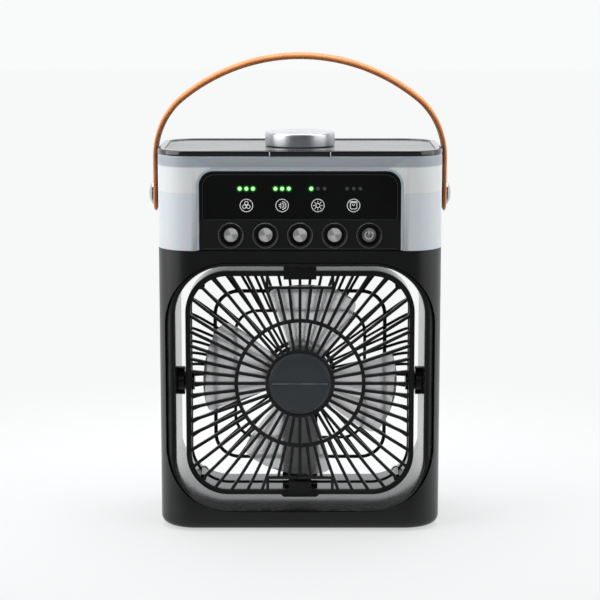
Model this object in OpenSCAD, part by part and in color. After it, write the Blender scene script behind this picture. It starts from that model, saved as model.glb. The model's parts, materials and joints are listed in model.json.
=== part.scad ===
// Portable misting desk fan: a black housing with a tilting fan head in an open wind tunnel,
// a translucent water tank wrapped round a control panel, and a carrying strap over the top.
// Millimetres. +Z is up, the front faces -Y, and the origin is the centre of the footprint.

/* [Housing] */
// Width of the housing and the tank
body_w = 171.2; // [168:0.1:172]
// Depth of the housing and the tank
body_d = 94; // [92:0.5:98]
// Radius of the upright corners in plan
corner_r = 22; // [20:0.5:24]
// Height of the seam between the housing and the tank
seam_z = 172.5; // [171:0.5:174]
// Radius round the bottom edge of the housing
bottom_r = 4.5; // [4:0.5:8]
// Wall thickness of the moulded shells
wall = 2.5; // [2:0.1:2.8]

/* [Window and wind tunnel] */
// Clear width of the wind tunnel
tunnel_w = 151; // [150:0.5:152]
// Clear height of the wind tunnel
tunnel_h = 149.8; // [149:0.1:151]
// Height of the tunnel's centre, and of the tilt axis
axis_z = 87.6; // [87:0.1:88]
// Corner radius of the tunnel
tunnel_r = 31; // [28:0.5:34]

/* [Fan head] */
// Width and height of the square fan head
head_w = 140; // [136:0.5:141]
// Corner radius of the fan head
head_r = 26; // [24:0.5:30]
// Distance of the tilt axis behind the centre plane, negative towards the front
tilt_y = -15.5; // [-16:0.1:-15]
// Number of spokes inside the middle ring
inner_spokes = 36; // [24:4:40]
// Number of spokes outside the middle ring
outer_spokes = 56; // [40:4:60]
// Tip radius of the impeller
blade_tip_r = 60; // [56:0.5:61]
// Number of impeller blades
blade_count = 4; // [3:1:5]

/* [Tank and lid] */
// Height of the joint between the tank and its lid
tank_top = 228.4; // [227:0.1:230]
// Height of the top of the lid
lid_top = 232.3; // [231.5:0.1:233]
// Wall thickness of the tank
tank_wall = 2.2; // [1.8:0.1:2.4]

/* [Controls] */
// Half width of the control panel
panel_x = 60; // [58:0.5:61]
// Height of the panel's top edge
panel_top = 220.3; // [219:0.1:221]
// Height of the row of buttons
button_z = 181.8; // [181:0.1:182.5]
// Distance from one button to the next
button_pitch = 20.6; // [20:0.1:21]
// Radius of a button's metal disc
button_r = 4.3; // [4:0.1:4.4]
// How far a button is pressed in
button_travel = 1.2; // [0.8:0.1:1.2]

/* [Knob and strap] */
// Radius of the filler knob
knob_r = 21.4; // [20.5:0.1:22]
// Height of the top of the knob
knob_top = 240.3; // [239.5:0.1:241]
// Width of the strap
strap_w = 22; // [18:0.5:24]
// Thickness of the strap
strap_t = 3; // [2:0.1:3.2]
// Height of the rivets that the strap swings on
rivet_z = 202.5; // [200:0.5:204]

/* [Hidden] */
$fn = 72;
eps = 0.01;

// Housing
front_y = -body_d / 2;
rear_y = body_d / 2;
base_z = 1;
split_y = 8;
deck_t = 2;
seam_gap = 0.2;
base_w = body_w - 20;
base_d = body_d - 20;
base_r = corner_r - 10;
base_t = 2;
plate_top = base_z + wall + 1.6;
foot_r = 6;
foot_x = 62;
foot_y = 26;
screw_r = 1.5;
screw_head_r = 2.7;
rib_t = 1.6;
shell_screw_x = 69;
shell_screw_z = [13.8, 161.4];

// Window and tunnel
window_w = 163;
window_h = 153.3;
window_z = 88.75;
window_r = 39;
bezel_recess = 1.4;
bezel_back_y = -34;
tunnel_wall = 2;
flare_y = 24;
flare_w = 156;
flare_h = 152;

// Power inlet, a flat oval socket in the rear wall
inlet_x = 56;
inlet_z = 168.4;
inlet_w = 9;
inlet_h = 3.3;
inlet_depth = 8;

// Panel
notch_y = -27;
panel_bottom = seam_z + 0.5;
panel_r = 8.5;
panel_split = 191.1;
panel_front = front_y + 0.1;
rim_t = 1.3;
cup_r = 7;
ring_r = 7.7;
cup_floor_y = front_y + 4.4;
cup_floor_t = 1.3;
button_face_y = front_y + 3.8;
flange_y = cup_floor_y + cup_floor_t + 0.1;
board_y = -34;
board_t = 1.6;
switch_y = board_y - 3.2;
icon_pitch = 21.2;
led_z = 209.9;
led_pitch = 3.95;
led_r = 1.05;
lit_in_group = [3, 3, 1, 0];
feed_z = button_z + 5.8;
board_screw_x = 53;
board_screw_z = 206;

// Lid
neck_r = 16;
inlay_inset = 4;
inlay_top = lid_top - 0.8;
seat_z = lid_top - 0.75;
plug_low = 222;
seal_z = 225;

// Head
head_front = -26.5;
head_back = -5;
bar = 3.3;
grille_t = 2.2;
hub_r = 19.5;
hub_ring_r = 21.3;
mid_ring_r = 39.1;
mid_ring_w = 2.2;
spoke_w = 1.8;
chord_z = 59.5;
chord_half = 20;
guard_half = 52;
guard_corner_r = 22;
guard_depth = 2.3;
head_lug = 9.6;
head_screw_size = 0.7;
guard_y = 2;
guard_bars = 36;
motor_y = -4;

// Impeller and motor, an outer rotor inside the impeller's hub
impeller_hub_r = 17;
hub_front_y = -20.5;
hub_back_y = -8;
blade_y = -14;
blade_t = 1.6;
blade_angle = 62;
blade_pitch = 11;
blade_start = -4;
shaft_r = 1.5;
bearing_r = 3;
tube_r = 4.2;
magnet_r = 15.5;
magnet_bore = 13.2;
stator_r = 12.4;

// Pivots
pin_r = 3;
running = 0.05;
boss_r = 8.8;
boss_x = 71;
collar_r = 5.7;

// Strap: a long crown arc, a shoulder arc on each side, then straight down
crown_z = 284.6;
crown_r = 112;
shoulder_r = 45;
strap_x = 87.3;
shoulder_x = strap_x - shoulder_r;
shoulder_turn = asin(shoulder_x / (crown_r - shoulder_r));
shoulder_z = crown_z - crown_r + (crown_r - shoulder_r) * cos(shoulder_turn);
strap_steps = 14;
rivet_r = 3;
rivet_head_r = 7;
rivet_dome = 2.4;

// Points along the strap from the left rivet to the right one, at a height above its inner face
function strap_shoulder(side, grow) = [
    for (i = [0:strap_steps])
        let (turn = 90 - (90 - shoulder_turn) * i / strap_steps)
            [side * (shoulder_x + (shoulder_r + grow) * sin(turn)),
             shoulder_z + (shoulder_r + grow) * cos(turn)]
];
function strap_crown(grow) = [
    for (i = [1:2 * strap_steps - 1])
        let (turn = shoulder_turn * (i / strap_steps - 1))
            [(crown_r + grow) * sin(turn), crown_z - crown_r + (crown_r + grow) * cos(turn)]
];
function strap_line(grow) =
    let (right = strap_shoulder(1, grow))
        concat([[-strap_x - grow, rivet_z]], strap_shoulder(-1, grow), strap_crown(grow),
               [for (i = [strap_steps:-1:0]) right[i]], [[strap_x + grow, rivet_z]]);

function button_x(i) = (i - 2) * button_pitch;
function icon_x(i) = (i - 1.5) * icon_pitch;

// Plan shape with rounded corners, centred
module rounded(w, h, r) {
    square([w - 2 * r, h], center = true);
    square([w, h - 2 * r], center = true);
    for (x = [-1, 1], y = [-1, 1])
        translate([x * (w / 2 - r), y * (h / 2 - r)]) circle(r);
}

// An outline in plan raised from one height to another
module upright(z0, z1) {
    translate([0, 0, z0]) linear_extrude(z1 - z0) children();
}

// An outline in the front view, x across and z up, carried from one depth to another
module along_y(y0, y1) {
    translate([0, y1, 0]) rotate([90, 0, 0]) linear_extrude(y1 - y0) children();
}

// A round bar along Y
module rod_y(x, z, r, y0, y1) {
    translate([x, y1, z]) rotate([90, 0, 0]) cylinder(r = r, h = y1 - y0);
}

// A round bar along X
module rod_x(y, z, r, x0, x1) {
    translate([x0, y, z]) rotate([0, 90, 0]) cylinder(r = r, h = x1 - x0);
}

module both_sides() {
    for (side = [0, 1]) mirror([side, 0, 0]) children();
}

module block(x0, x1, y0, y1, z0, z1) {
    translate([x0, y0, z0]) cube([x1 - x0, y1 - y0, z1 - z0]);
}

// The housing's outer form, moved inwards by an inset
module housing_form(inset, top) {
    r = corner_r - inset;
    edge = bottom_r - min(inset, bottom_r - 1);
    x = body_w / 2 - corner_r;
    y = body_d / 2 - corner_r;
    hull($fn = 96)
        for (sx = [-x, x], sy = [-y, y]) translate([sx, sy, base_z + inset]) {
            translate([0, 0, edge]) cylinder(r = r, h = top - base_z - inset - edge);
            translate([0, 0, edge]) rotate_extrude() translate([r - edge, 0]) circle(edge, $fn = 32);
        }
}

module housing_wall() {
    difference() {
        housing_form(0, seam_z);
        housing_form(wall, seam_z + 5);
        upright(-1, base_z + wall + 1) rounded(base_w + 0.4, base_d + 0.4, base_r);
    }
}

module window_outline(grow) {
    translate([0, window_z]) rounded(window_w + 2 * grow, window_h + 2 * grow, window_r + grow);
}

module tunnel_outline(grow) {
    translate([0, axis_z]) rounded(tunnel_w + 2 * grow, tunnel_h + 2 * grow, tunnel_r + grow);
}

module flare_outline(grow) {
    translate([0, axis_z]) rounded(flare_w + 2 * grow, flare_h + 2 * grow, tunnel_r + 2 + grow);
}

module shell_screw_places() {
    both_sides() for (z = shell_screw_z) translate([shell_screw_x, 0, z]) children();
}

module front_shell() {
    color("#1b1c1e") difference() {
        union() {
            intersection() {
                housing_wall();
                block(-body_w, body_w, front_y - 1, split_y, -1, seam_z + 1);
            }
            shell_screw_places() {
                rod_y(0, 0, 3.4, -6, split_y);
                block(2, body_w / 2 - shell_screw_x - 1, -6, split_y, -rib_t / 2, rib_t / 2);
            }
        }
        along_y(front_y - 1, bezel_back_y) window_outline(0.15);
        shell_screw_places() rod_y(0, 0, screw_r, -4, split_y + 1);
    }
}

module rear_shell() {
    color("#1b1c1e") difference() {
        union() {
            intersection() {
                housing_wall();
                block(-body_w, body_w, split_y + 0.1, rear_y + 1, -1, seam_z + 1);
            }
            intersection() {
                shell_screw_places() rod_y(0, 0, 4.2, split_y + 0.1, rear_y);
                housing_form(1, seam_z);
            }
        }
        along_y(rear_y - 12, rear_y + 1) flare_outline(tunnel_wall + 0.15);
        shell_screw_places() {
            rod_y(0, 0, screw_r + 0.2, split_y, rear_y + 1);
            rod_y(0, 0, screw_head_r + 0.2, rear_y - 6, rear_y + 1);
        }
        block(inlet_x - inlet_w / 2 - 0.3, inlet_x + inlet_w / 2 + 0.3, rear_y - 10, rear_y + 1,
              inlet_z - inlet_h / 2 - 0.3, inlet_z + inlet_h / 2 + 0.3);
    }
}

module window_bezel() {
    color("#101113") intersection() {
        along_y(front_y, bezel_back_y) difference() {
            window_outline(0);
            tunnel_outline(0);
        }
        upright(0, seam_z) rounded(body_w - 2 * bezel_recess, body_d - 2 * bezel_recess,
                                   corner_r - bezel_recess);
    }
}

module tunnel_tube(grow) {
    along_y(bezel_back_y + 0.1, flare_y) tunnel_outline(grow);
    hull($fn = 64) {
        along_y(flare_y - 0.5, flare_y) tunnel_outline(grow);
        along_y(rear_y, rear_y + 0.5) flare_outline(grow);
    }
}

module wind_tunnel() {
    under = axis_z - tunnel_h / 2;
    color("#141517") difference() {
        union() {
            intersection() {
                tunnel_tube(tunnel_wall);
                upright(0, seam_z) rounded(body_w - 2, body_d - 2, corner_r - 1);
            }
            base_screw_places() translate([0, 0, plate_top + 0.05])
                cylinder(r = 3.2, h = under - 0.9 - plate_top - 0.05);
        }
        base_screw_places() cylinder(r = screw_r, h = under - 1.6);
        translate([0, -eps, 0]) tunnel_tube(0);
        along_y(rear_y - 0.6, rear_y + 2) flare_outline(0);
        along_y(bezel_back_y, bezel_back_y + 1) tunnel_outline(0);
        both_sides() rod_x(tilt_y, axis_z, 6.1, tunnel_w / 2 - 1, tunnel_w / 2 + 4);
    }
}

module tank_deck() {
    color("#202124") difference() {
        upright(seam_z - deck_t, seam_z)
            rounded(body_w - 2 * wall - 0.4, body_d - 2 * wall - 0.4, corner_r - wall - 0.2);
        upright(seam_z - deck_t - 1, seam_z + 1)
            translate([0, notch_y - 6]) rounded(60, 6, 2.5);
    }
}

module base_screw_places() {
    for (x = [-foot_x + 14, foot_x - 14], y = [-foot_y, foot_y]) translate([x, y, 0]) children();
}

module base_plate() {
    color("#232427") difference() {
        union() {
            upright(base_z, base_z + base_t) rounded(base_w, base_d, base_r);
            upright(base_z + wall + 0.1, plate_top) rounded(base_w + 3, base_d + 3, base_r + 1);
            upright(base_z, base_z + wall + 1) rounded(base_w - 1, base_d - 1, base_r - 0.5);
        }
        for (x = [-foot_x, foot_x], y = [-foot_y, foot_y])
            translate([x, y, 0]) cylinder(r = foot_r + 0.1, h = base_z + 0.6);
        base_screw_places() {
            cylinder(r = screw_r + 0.2, h = 10);
            cylinder(r = screw_head_r + 0.2, h = base_z + 1.4);
        }
        for (i = [-3:3]) block(-14, 14, i * 4 - 0.8, i * 4 + 0.8, 0, 10);
    }
}

module rubber_feet() {
    color("#2b2b2b")
        for (x = [-foot_x, foot_x], y = [-foot_y, foot_y]) translate([x, y, 0]) {
            cylinder(r1 = foot_r - 0.6, r2 = foot_r, h = 0.6);
            translate([0, 0, 0.6]) cylinder(r = foot_r, h = base_z);
        }
}

// A cross-head screw standing on the origin, head down, with its shank along +Z
module screw(length) {
    difference() {
        union() {
            cylinder(r = screw_head_r, h = 1.2);
            cylinder(r = screw_r - 0.05, h = length);
        }
        for (turn = [0, 90]) rotate(turn) block(-1.5, 1.5, -0.35, 0.35, -1, 0.7);
    }
}

module shell_screws() {
    color("#8a8c90") shell_screw_places() translate([0, rear_y - 4.8, 0]) rotate([90, 0, 0]) screw(44);
}

module base_screws() {
    color("#8a8c90") base_screw_places() translate([0, 0, base_z + 0.1]) screw(7);
}

module power_board() {
    top = inlet_z - inlet_h / 2 - 0.05;
    color("#1f6b3a") block(34, 63, 14, rear_y - 9, top - 1.2, top);
    color("#3a3a3a") for (x = [38, 44]) block(x, x + 4, 20, 26, top, inlet_z + 1.2);
}

module inlet_outline(grow) {
    rounded(inlet_w + 2 * grow, inlet_h + 2 * grow, inlet_h / 2 + grow - 0.02);
}

module power_inlet() {
    color("#b9bcc0") translate([inlet_x, 0, inlet_z]) {
        difference() {
            along_y(rear_y - inlet_depth - 0.6, rear_y - 0.6) inlet_outline(0);
            along_y(rear_y - inlet_depth, rear_y) inlet_outline(-0.4);
        }
        along_y(rear_y - inlet_depth, rear_y - 2) square([6.4, 0.7], center = true);
    }
}

// Tank
module tank_notch(grow) {
    along_y(front_y - 1, notch_y + grow) difference() {
        translate([0, panel_top + rim_t + grow - 39.9])
            rounded(2 * (panel_x + rim_t + grow + 0.1), 80, panel_r + rim_t + grow);
        translate([-200, seam_z - 100 - 2]) square([400, 100]);
    }
}

module water_tank() {
    low = seam_z + seam_gap;
    in = 2 * tank_wall;
    color("#d5dde3", 0.55) difference() {
        upright(low, tank_top) rounded(body_w, body_d, corner_r);
        tank_notch(0);
        difference() {
            upright(low + tank_wall, tank_top + 1) rounded(body_w - in, body_d - in, corner_r - tank_wall);
            translate([0, 0, -0.2]) tank_notch(tank_wall);
        }
        for (i = [1, 2, 3]) rod_y(button_x(i), feed_z, 3.3, notch_y - 1, notch_y + tank_wall + 1);
        both_sides() rod_x(0, rivet_z, rivet_r + 0.1, body_w / 2 - tank_wall - 1, body_w / 2 + 1);
    }
}

module tank_gasket() {
    color("#9aa0a4") upright(tank_top, tank_top + 0.5) difference() {
        rounded(body_w - 0.8, body_d - 0.8, corner_r - 0.4);
        rounded(body_w - 2 * tank_wall, body_d - 2 * tank_wall, corner_r - tank_wall);
    }
}

module lid() {
    skirt = tank_wall + 0.15;
    color("#0d0e10") difference() {
        union() {
            upright(tank_top + 0.5, lid_top) rounded(body_w, body_d, corner_r);
            upright(223, tank_top + 1) difference() {
                rounded(body_w - 2 * skirt, body_d - 2 * skirt, corner_r - skirt);
                rounded(body_w - 2 * skirt - 4, body_d - 2 * skirt - 4, corner_r - skirt - 2);
                translate([-panel_x - 5, front_y]) square([2 * panel_x + 10, 22.5]);
            }
            upright(220, tank_top + 1) circle(neck_r + 2);
        }
        upright(inlay_top - 0.95, lid_top + 1)
            rounded(body_w - 2 * inlay_inset, body_d - 2 * inlay_inset, corner_r - inlay_inset);
        translate([0, 0, 219]) cylinder(r = neck_r, h = 20);
        block(-18.2, 18.2, front_y - 1, front_y + 3.6, tank_top, lid_top + 1);
    }
}

module lid_inlay() {
    in = 2 * inlay_inset + 0.4;
    color("#55585c") upright(inlay_top - 0.95, inlay_top) difference() {
        rounded(body_w - in, body_d - in, corner_r - inlay_inset - 0.2);
        circle(neck_r);
    }
}

module lid_tab() {
    color("#0d0e10") block(-17.9, 17.9, front_y - 0.2, front_y + 3.5, tank_top + 0.5, lid_top - 0.1);
}

module filler_plug() {
    color("#17181a") difference() {
        union() {
            translate([0, 0, seat_z]) cylinder(r = knob_r - 1.6, h = 0.8);
            translate([0, 0, plug_low]) cylinder(r = neck_r - 0.3, h = seat_z - plug_low + 0.4);
            translate([0, 0, seat_z]) cylinder(r = 4, h = 5.5);
        }
        translate([0, 0, plug_low - 1]) cylinder(r = neck_r - 2.3, h = seat_z - plug_low);
        translate([0, 0, seal_z]) rotate_extrude()
            translate([neck_r - 0.3, 0]) square(1.8, center = true);
    }
}

module plug_seal() {
    color("#a33a2c") translate([0, 0, seal_z])
        rotate_extrude() translate([neck_r - 0.68, 0]) circle(0.52, $fn = 24);
}

module knob_core() {
    color("#222326") difference() {
        translate([0, 0, seat_z + 0.8]) cylinder(r = knob_r - 1.05, h = knob_top - 1.45 - seat_z - 0.8);
        translate([0, 0, seat_z]) cylinder(r = 4 + running, h = 6.3);
    }
}

module knob_cap() {
    bevel = 0.9;
    low = seat_z + 0.45;
    color("#c9ccd0") rotate_extrude() polygon([
        [0, knob_top - 1.4], [knob_r - 1, knob_top - 1.4], [knob_r - 1, low], [knob_r, low],
        [knob_r, knob_top - bevel], [knob_r - bevel, knob_top], [0, knob_top]
    ]);
}

// Control panel
module panel_outline(inset) {
    difference() {
        translate([0, panel_top - inset - 40]) rounded(2 * (panel_x - inset), 80, panel_r - inset);
        translate([-200, panel_bottom + inset - 100]) square([400, 100]);
    }
}

module button_places(which) {
    for (i = which) translate([button_x(i), 0, button_z]) children();
}

module board_screw_posts(r, y0) {
    both_sides() rod_y(board_screw_x, board_screw_z, r, y0, board_y - 0.05);
}

module panel_body() {
    face_y = panel_front + 1.5;
    color("#18191b") difference() {
        union() {
            difference() {
                along_y(panel_front, notch_y - 0.2) panel_outline(0.05);
                along_y(face_y + 2, notch_y + 1) difference() {
                    panel_outline(2);
                    translate([-200, panel_split - 100]) square([400, 100]);
                }
                along_y(cup_floor_y + cup_floor_t, notch_y + 1) difference() {
                    panel_outline(2);
                    translate([-200, panel_split + eps]) square([400, 100]);
                }
            }
            board_screw_posts(3.2, face_y + 1);
        }
        board_screw_posts(screw_r, board_y - 6);
        along_y(front_y - 1, face_y) difference() {
            panel_outline(0.7);
            translate([-200, panel_split - 100]) square([400, 100]);
        }
        button_places([0:4]) {
            rod_y(0, 0, cup_r, front_y - 1, cup_floor_y);
            rod_y(0, 0, ring_r, front_y - 1, panel_front + 0.7);
            rod_y(0, 0, button_r + 0.3, cup_floor_y - 1, cup_floor_y + cup_floor_t + 1);
        }
        button_places([1:3]) for (turn = [0:45:359]) rotate([0, turn, 0])
            rod_y(6.1, 0, 0.55, cup_floor_y - 1, cup_floor_y + cup_floor_t + 1);
        for (i = [0:3], j = [-1:1])
            rod_y(icon_x(i) + j * led_pitch, led_z, led_r + 0.1, front_y, face_y + 3);
    }
}

module panel_rim() {
    color("#e6edf2", 0.7) along_y(front_y - 0.15, notch_y - 0.3) difference() {
        panel_outline(-rim_t);
        panel_outline(0);
        translate([-200, panel_bottom - 100]) square([400, 100]);
    }
}

module display_window() {
    color("#050608") difference() {
        along_y(panel_front, panel_front + 1.45) difference() {
            panel_outline(0.8);
            translate([-200, panel_split + 0.15 - 100]) square([400, 100]);
        }
        for (i = [0:3], j = [-1:1])
            rod_y(icon_x(i) + j * led_pitch, led_z, led_r + 0.05, front_y - 1, front_y + 3);
    }
}

module button_rings() {
    color("#c6c9cc") button_places([0:4]) difference() {
        rod_y(0, 0, ring_r - 0.02, front_y - 0.25, panel_front + 0.65);
        rod_y(0, 0, cup_r + 0.05, front_y - 1, front_y + 3);
    }
}

module push_button(i) {
    color("#b4b7bb") button_places([i]) {
        rod_y(0, 0, button_r, button_face_y, flange_y + 0.1);
        rod_y(0, 0, button_r + 0.8, flange_y, flange_y + 0.8);
        rod_y(0, 0, 1.4, flange_y + 0.5, switch_y - 0.1 - button_travel);
    }
}

module speed_button() { push_button(0); }
module mist_button() { push_button(1); }
module light_button() { push_button(2); }
module timer_button() { push_button(3); }
module power_button() { push_button(4); }

module control_board() {
    color("#1f6b3a") difference() {
        along_y(board_y, board_y + board_t) panel_outline(2.4);
        for (i = [1, 2, 3]) rod_y(button_x(i), feed_z, 2.8, board_y - 1, board_y + board_t + 1);
        both_sides() rod_y(board_screw_x, board_screw_z, screw_r, board_y - 1, board_y + board_t + 1);
    }
}

module tact_switches() {
    color("#3b3c40") button_places([0:4]) {
        block(-2.9, 2.9, switch_y + 0.5, board_y, -2.9, 2.9);
        rod_y(0, 0, 1.7, switch_y, switch_y + 0.6);
    }
}

module board_screws() {
    color("#8a8c90") both_sides()
        translate([board_screw_x, board_y + board_t + 1.2, board_screw_z]) rotate([90, 0, 0]) screw(6);
}

module led_group(i, first, last) {
    for (j = [first:1:last]) rod_y(icon_x(i) + (j - 1) * led_pitch, led_z, led_r, front_y, board_y);
}

module status_leds_lit() {
    color("#5dff62") for (i = [0:2]) led_group(i, 0, lit_in_group[i] - 1);
}

module status_leds_unlit() {
    color("#5b5f63") for (i = [2, 3]) led_group(i, lit_in_group[i], 2);
}

// Mist: a shallow plenum behind the three middle cups, fed by three atomisers on the tank wall
module mist_chamber() {
    low_y = cup_floor_y + cup_floor_t + 0.05;
    high_y = switch_y - 0.1;
    color("#2a2c30") difference() {
        union() {
            block(-31, 31, low_y, high_y, button_z - 6.8, panel_split - 0.4);
            for (i = [1, 2, 3]) rod_y(button_x(i), feed_z, 2.6, high_y - 0.5, notch_y - 4.2);
        }
        block(-30, 30, low_y - 1, high_y - 1, button_z - 6, panel_split - 1.2);
        button_places([1:3]) rod_y(0, 0, 1.9, high_y - 2, high_y + 1);
        for (i = [1, 2, 3]) rod_y(button_x(i), feed_z, 1.8, high_y - 2, notch_y);
    }
}

module atomiser_places() {
    for (i = [1, 2, 3]) translate([button_x(i), notch_y, feed_z]) children();
}

module atomiser_discs() {
    color("#c9a24a") atomiser_places() rod_y(0, 0, 8, -2.4, -1.6);
}

module atomiser_seals() {
    color("#d9d9d4") atomiser_places() difference() {
        rod_y(0, 0, 9.2, -4.1, -0.05);
        rod_y(0, 0, 8, -2.4, -1.6);
        rod_y(0, 0, 6, -5, 1);
    }
}

module wicks() {
    wick_y = 8;
    color("#efeee8") atomiser_places() {
        rod_y(0, 0, 3.1, -1.5, wick_y);
        translate([0, wick_y, seam_z + 3.2 - feed_z]) cylinder(r = 4, h = feed_z - seam_z + 1);
    }
}

// Fan head
module head_outline(inset) {
    rounded(head_w - 2 * inset, head_w - 2 * inset, head_r - inset);
}

module head_at() {
    translate([0, 0, axis_z]) children();
}

// The four screw places near the corners of the head
module head_corners() {
    for (s = [-1, 1], t = [-1, 1])
        translate([s * (head_w / 2 - head_lug), 0, t * (head_w / 2 - head_lug)]) children();
}

module head_frame() {
    skin = 2.2;
    color("#131416") head_at() difference() {
        union() {
            along_y(head_front + 3.1, head_back) difference() {
                head_outline(0);
                head_outline(skin);
            }
            both_sides() rod_x(tilt_y, 0, 6, head_w / 2 - 5, head_w / 2);
            head_corners() rod_y(0, 0, 2.4, head_front + 3.1, head_back);
        }
        both_sides() rod_x(tilt_y, 0, pin_r, head_w / 2 - 8, head_w / 2 + 1);
        head_corners() rod_y(0, 0, head_screw_size * screw_r, head_back - 8, head_back + 1);
    }
}

// Flat radial bars from one radius to another, evenly round the hub
module spokes(count, r0, r1, width) {
    for (i = [0:count - 1]) rotate(i * 360 / count) translate([r0, -width / 2]) square([r1 - r0, width]);
}

module ring(r, width) {
    difference() {
        circle(r + width / 2);
        circle(r - width / 2);
    }
}

module front_grille() {
    beyond_chord = head_w / 2 - chord_z;
    color("#0f1012") head_at() {
        along_y(head_front, head_front + 3) difference() {
            head_outline(0);
            head_outline(bar);
        }
        along_y(head_front, head_front + grille_t) {
            intersection() {
                difference() {
                    spokes(outer_spokes, mid_ring_r, head_w * 0.66, spoke_w);
                    for (s = [-1, 1])
                        translate([0, s * (chord_z + beyond_chord / 2)])
                            square([2 * chord_half, beyond_chord], center = true);
                }
                head_outline(bar / 2);
            }
            spokes(inner_spokes, hub_r, mid_ring_r, spoke_w);
            ring(mid_ring_r, mid_ring_w);
            ring((hub_r + hub_ring_r) / 2, hub_ring_r - hub_r);
            for (s = [-1, 1]) {
                translate([0, s * chord_z]) square([2 * chord_half + 1.4, 1.6], center = true);
                for (x = [-chord_half, chord_half])
                    translate([x, s * (chord_z + beyond_chord / 2 - 1)])
                        square([spoke_w, beyond_chord - 1.5], center = true);
            }
        }
    }
}

module hub_badge() {
    color("#1a1b1e") head_at() {
        rod_y(0, 0, hub_r - 0.1, head_front - 0.6, head_front + grille_t);
        along_y(head_front - 1, head_front - 0.5) square([2 * hub_r - 3, 0.8], center = true);
    }
}

module grille_clips() {
    color("#0d0e10") head_at() difference() {
        union() {
            block(-10, 10, head_front - 1.2, -9, head_w / 2 - 5.2, head_w / 2 + 3.6);
            block(-7, 7, head_front - 1.2, -9, -head_w / 2 - 1.3, -head_w / 2 + 8);
            hull() {
                block(-11.5, 11.5, head_front - 1.2, head_front, -head_w / 2 - 0.2, -head_w / 2 + 1.9);
                block(-10, 10, head_front - 1.2, head_front, -head_w / 2 - 1.3, -head_w / 2 + 1.9);
            }
        }
        along_y(head_front - eps, head_back + 1) difference() {
            head_outline(-0.1);
            head_outline(bar + 0.1);
        }
        along_y(head_front - eps, head_front + grille_t + 0.1)
            square([3 * spoke_w, 2 * (head_w / 2 - 1)], center = true);
    }
}

module guard_ring(half, width, r) {
    difference() {
        rounded(2 * half, 2 * half, r);
        rounded(2 * (half - width), 2 * (half - width), r - width);
    }
}

// Distance from the centre to a rounded square's outline, in one direction
function reach(half, r, angle) =
    let (c = abs(cos(angle)), s = abs(sin(angle)), k = half - r)
    half * s <= k * c ? half / c :
    half * c <= k * s ? half / s :
    k * (c + s) + sqrt(k * k * (c + s) * (c + s) - 2 * k * k + r * r);

// A bar of the rear guard: back from the frame, then inwards to the outer square ring
module guard_bar(angle) {
    far = reach(head_w / 2 - 1.2, head_r - 1.2, angle);
    near = reach(guard_half - 1.2, guard_corner_r - 1.2, angle);
    translate([0, 0, -spoke_w / 2]) linear_extrude(spoke_w) polygon([
        [far, head_back + 1], [far, guard_y - 2], [far - 3, guard_y + 0.8], [near, guard_y + 0.8],
        [near, guard_y - 0.8], [far - 4, guard_y - 0.8], [far - 1.8, guard_y - 3], [far - 1.8, head_back + 1]
    ]);
}

module rear_guard() {
    color("#0f1012") head_at() difference() {
        union() {
            along_y(head_back + 0.1, head_back + 0.1 + guard_depth) {
                difference() {
                    head_outline(0);
                    head_outline(3);
                }
                for (s = [-1, 1], t = [-1, 1])
                    translate([s, t] * (head_w / 2 - head_lug)) circle(2.7);
            }
            along_y(guard_y - 1, guard_y + 1) {
                guard_ring(guard_half, 2.4, guard_corner_r);
                guard_ring(38, 2, 24);
                ring(21, 3);
            }
            for (i = [0:guard_bars - 1]) {
                angle = i * 360 / guard_bars;
                inner = reach(37, 23, angle);
                rotate([0, -angle, 0]) {
                    if (abs(angle - 270) > 12) guard_bar(angle);
                    if (i % 2 == 0) block(20.5, inner, guard_y - 0.8, guard_y + 0.8, -0.8, 0.8);
                    if (i % 3 == 0)
                        block(inner - 0.5, reach(guard_half - 1, guard_corner_r - 1, angle),
                              guard_y - 0.8, guard_y + 0.8, -0.8, 0.8);
                }
            }
        }
        head_corners() rod_y(0, 0, head_screw_size * screw_r + 0.2, head_back - 5, head_back + 8);
    }
}

module motor_arm() {
    color("#0d0e10") head_at() difference() {
        block(-11, 11, head_back + 2.5, guard_y - 1.1, -head_w / 2 + 4, -14);
        block(-9.5, 9.5, head_back + 1, guard_y - 2.6, -head_w / 2 + 5.5, 0);
        rod_y(0, 0, 20.2, -20, 20);
    }
}

module motor_base() {
    color("#202226") head_at() difference() {
        union() {
            rod_y(0, 0, 19.4, motor_y, motor_y + 5);
            rod_y(0, 0, tube_r, -16.5, motor_y + 1);
        }
        rod_y(0, 0, bearing_r, -17, motor_y + 1.5);
    }
}

module motor_stator() {
    color("#b0703c") head_at() difference() {
        rod_y(0, 0, stator_r, -16.5, -8.5);
        rod_y(0, 0, tube_r + 0.05, -18, -7);
        for (i = [0:5]) rotate([0, i * 60, 0]) block(9, 14, -18, -7, -1, 1);
    }
}

module motor_bearings() {
    color("#a08a5a") head_at() for (y = [-16, motor_y - 2]) difference() {
        rod_y(0, 0, bearing_r, y, y + 3);
        rod_y(0, 0, shaft_r + running, y - 1, y + 4);
    }
}

module head_screws() {
    color("#8a8c90") head_at() head_corners()
        translate([0, head_back + guard_depth + 0.1 + 1.25 * head_screw_size, 0])
            scale(head_screw_size) rotate([90, 0, 0]) screw(11);
}

module pivot_bosses() {
    color("#101113") both_sides() difference() {
        union() {
            rod_x(tilt_y, axis_z, boss_r, boss_x, tunnel_w / 2 - 0.05);
            rod_x(tilt_y, axis_z, 6, boss_x + 1, tunnel_w / 2 + 4);
        }
        rod_x(tilt_y, axis_z, pin_r + running, boss_x - 1, tunnel_w / 2 + 2.5);
    }
}

module pivot_pins() {
    color("#8d9094") both_sides() rod_x(tilt_y, axis_z, pin_r, head_w / 2 - 4.5, tunnel_w / 2 + 2);
}

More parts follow.
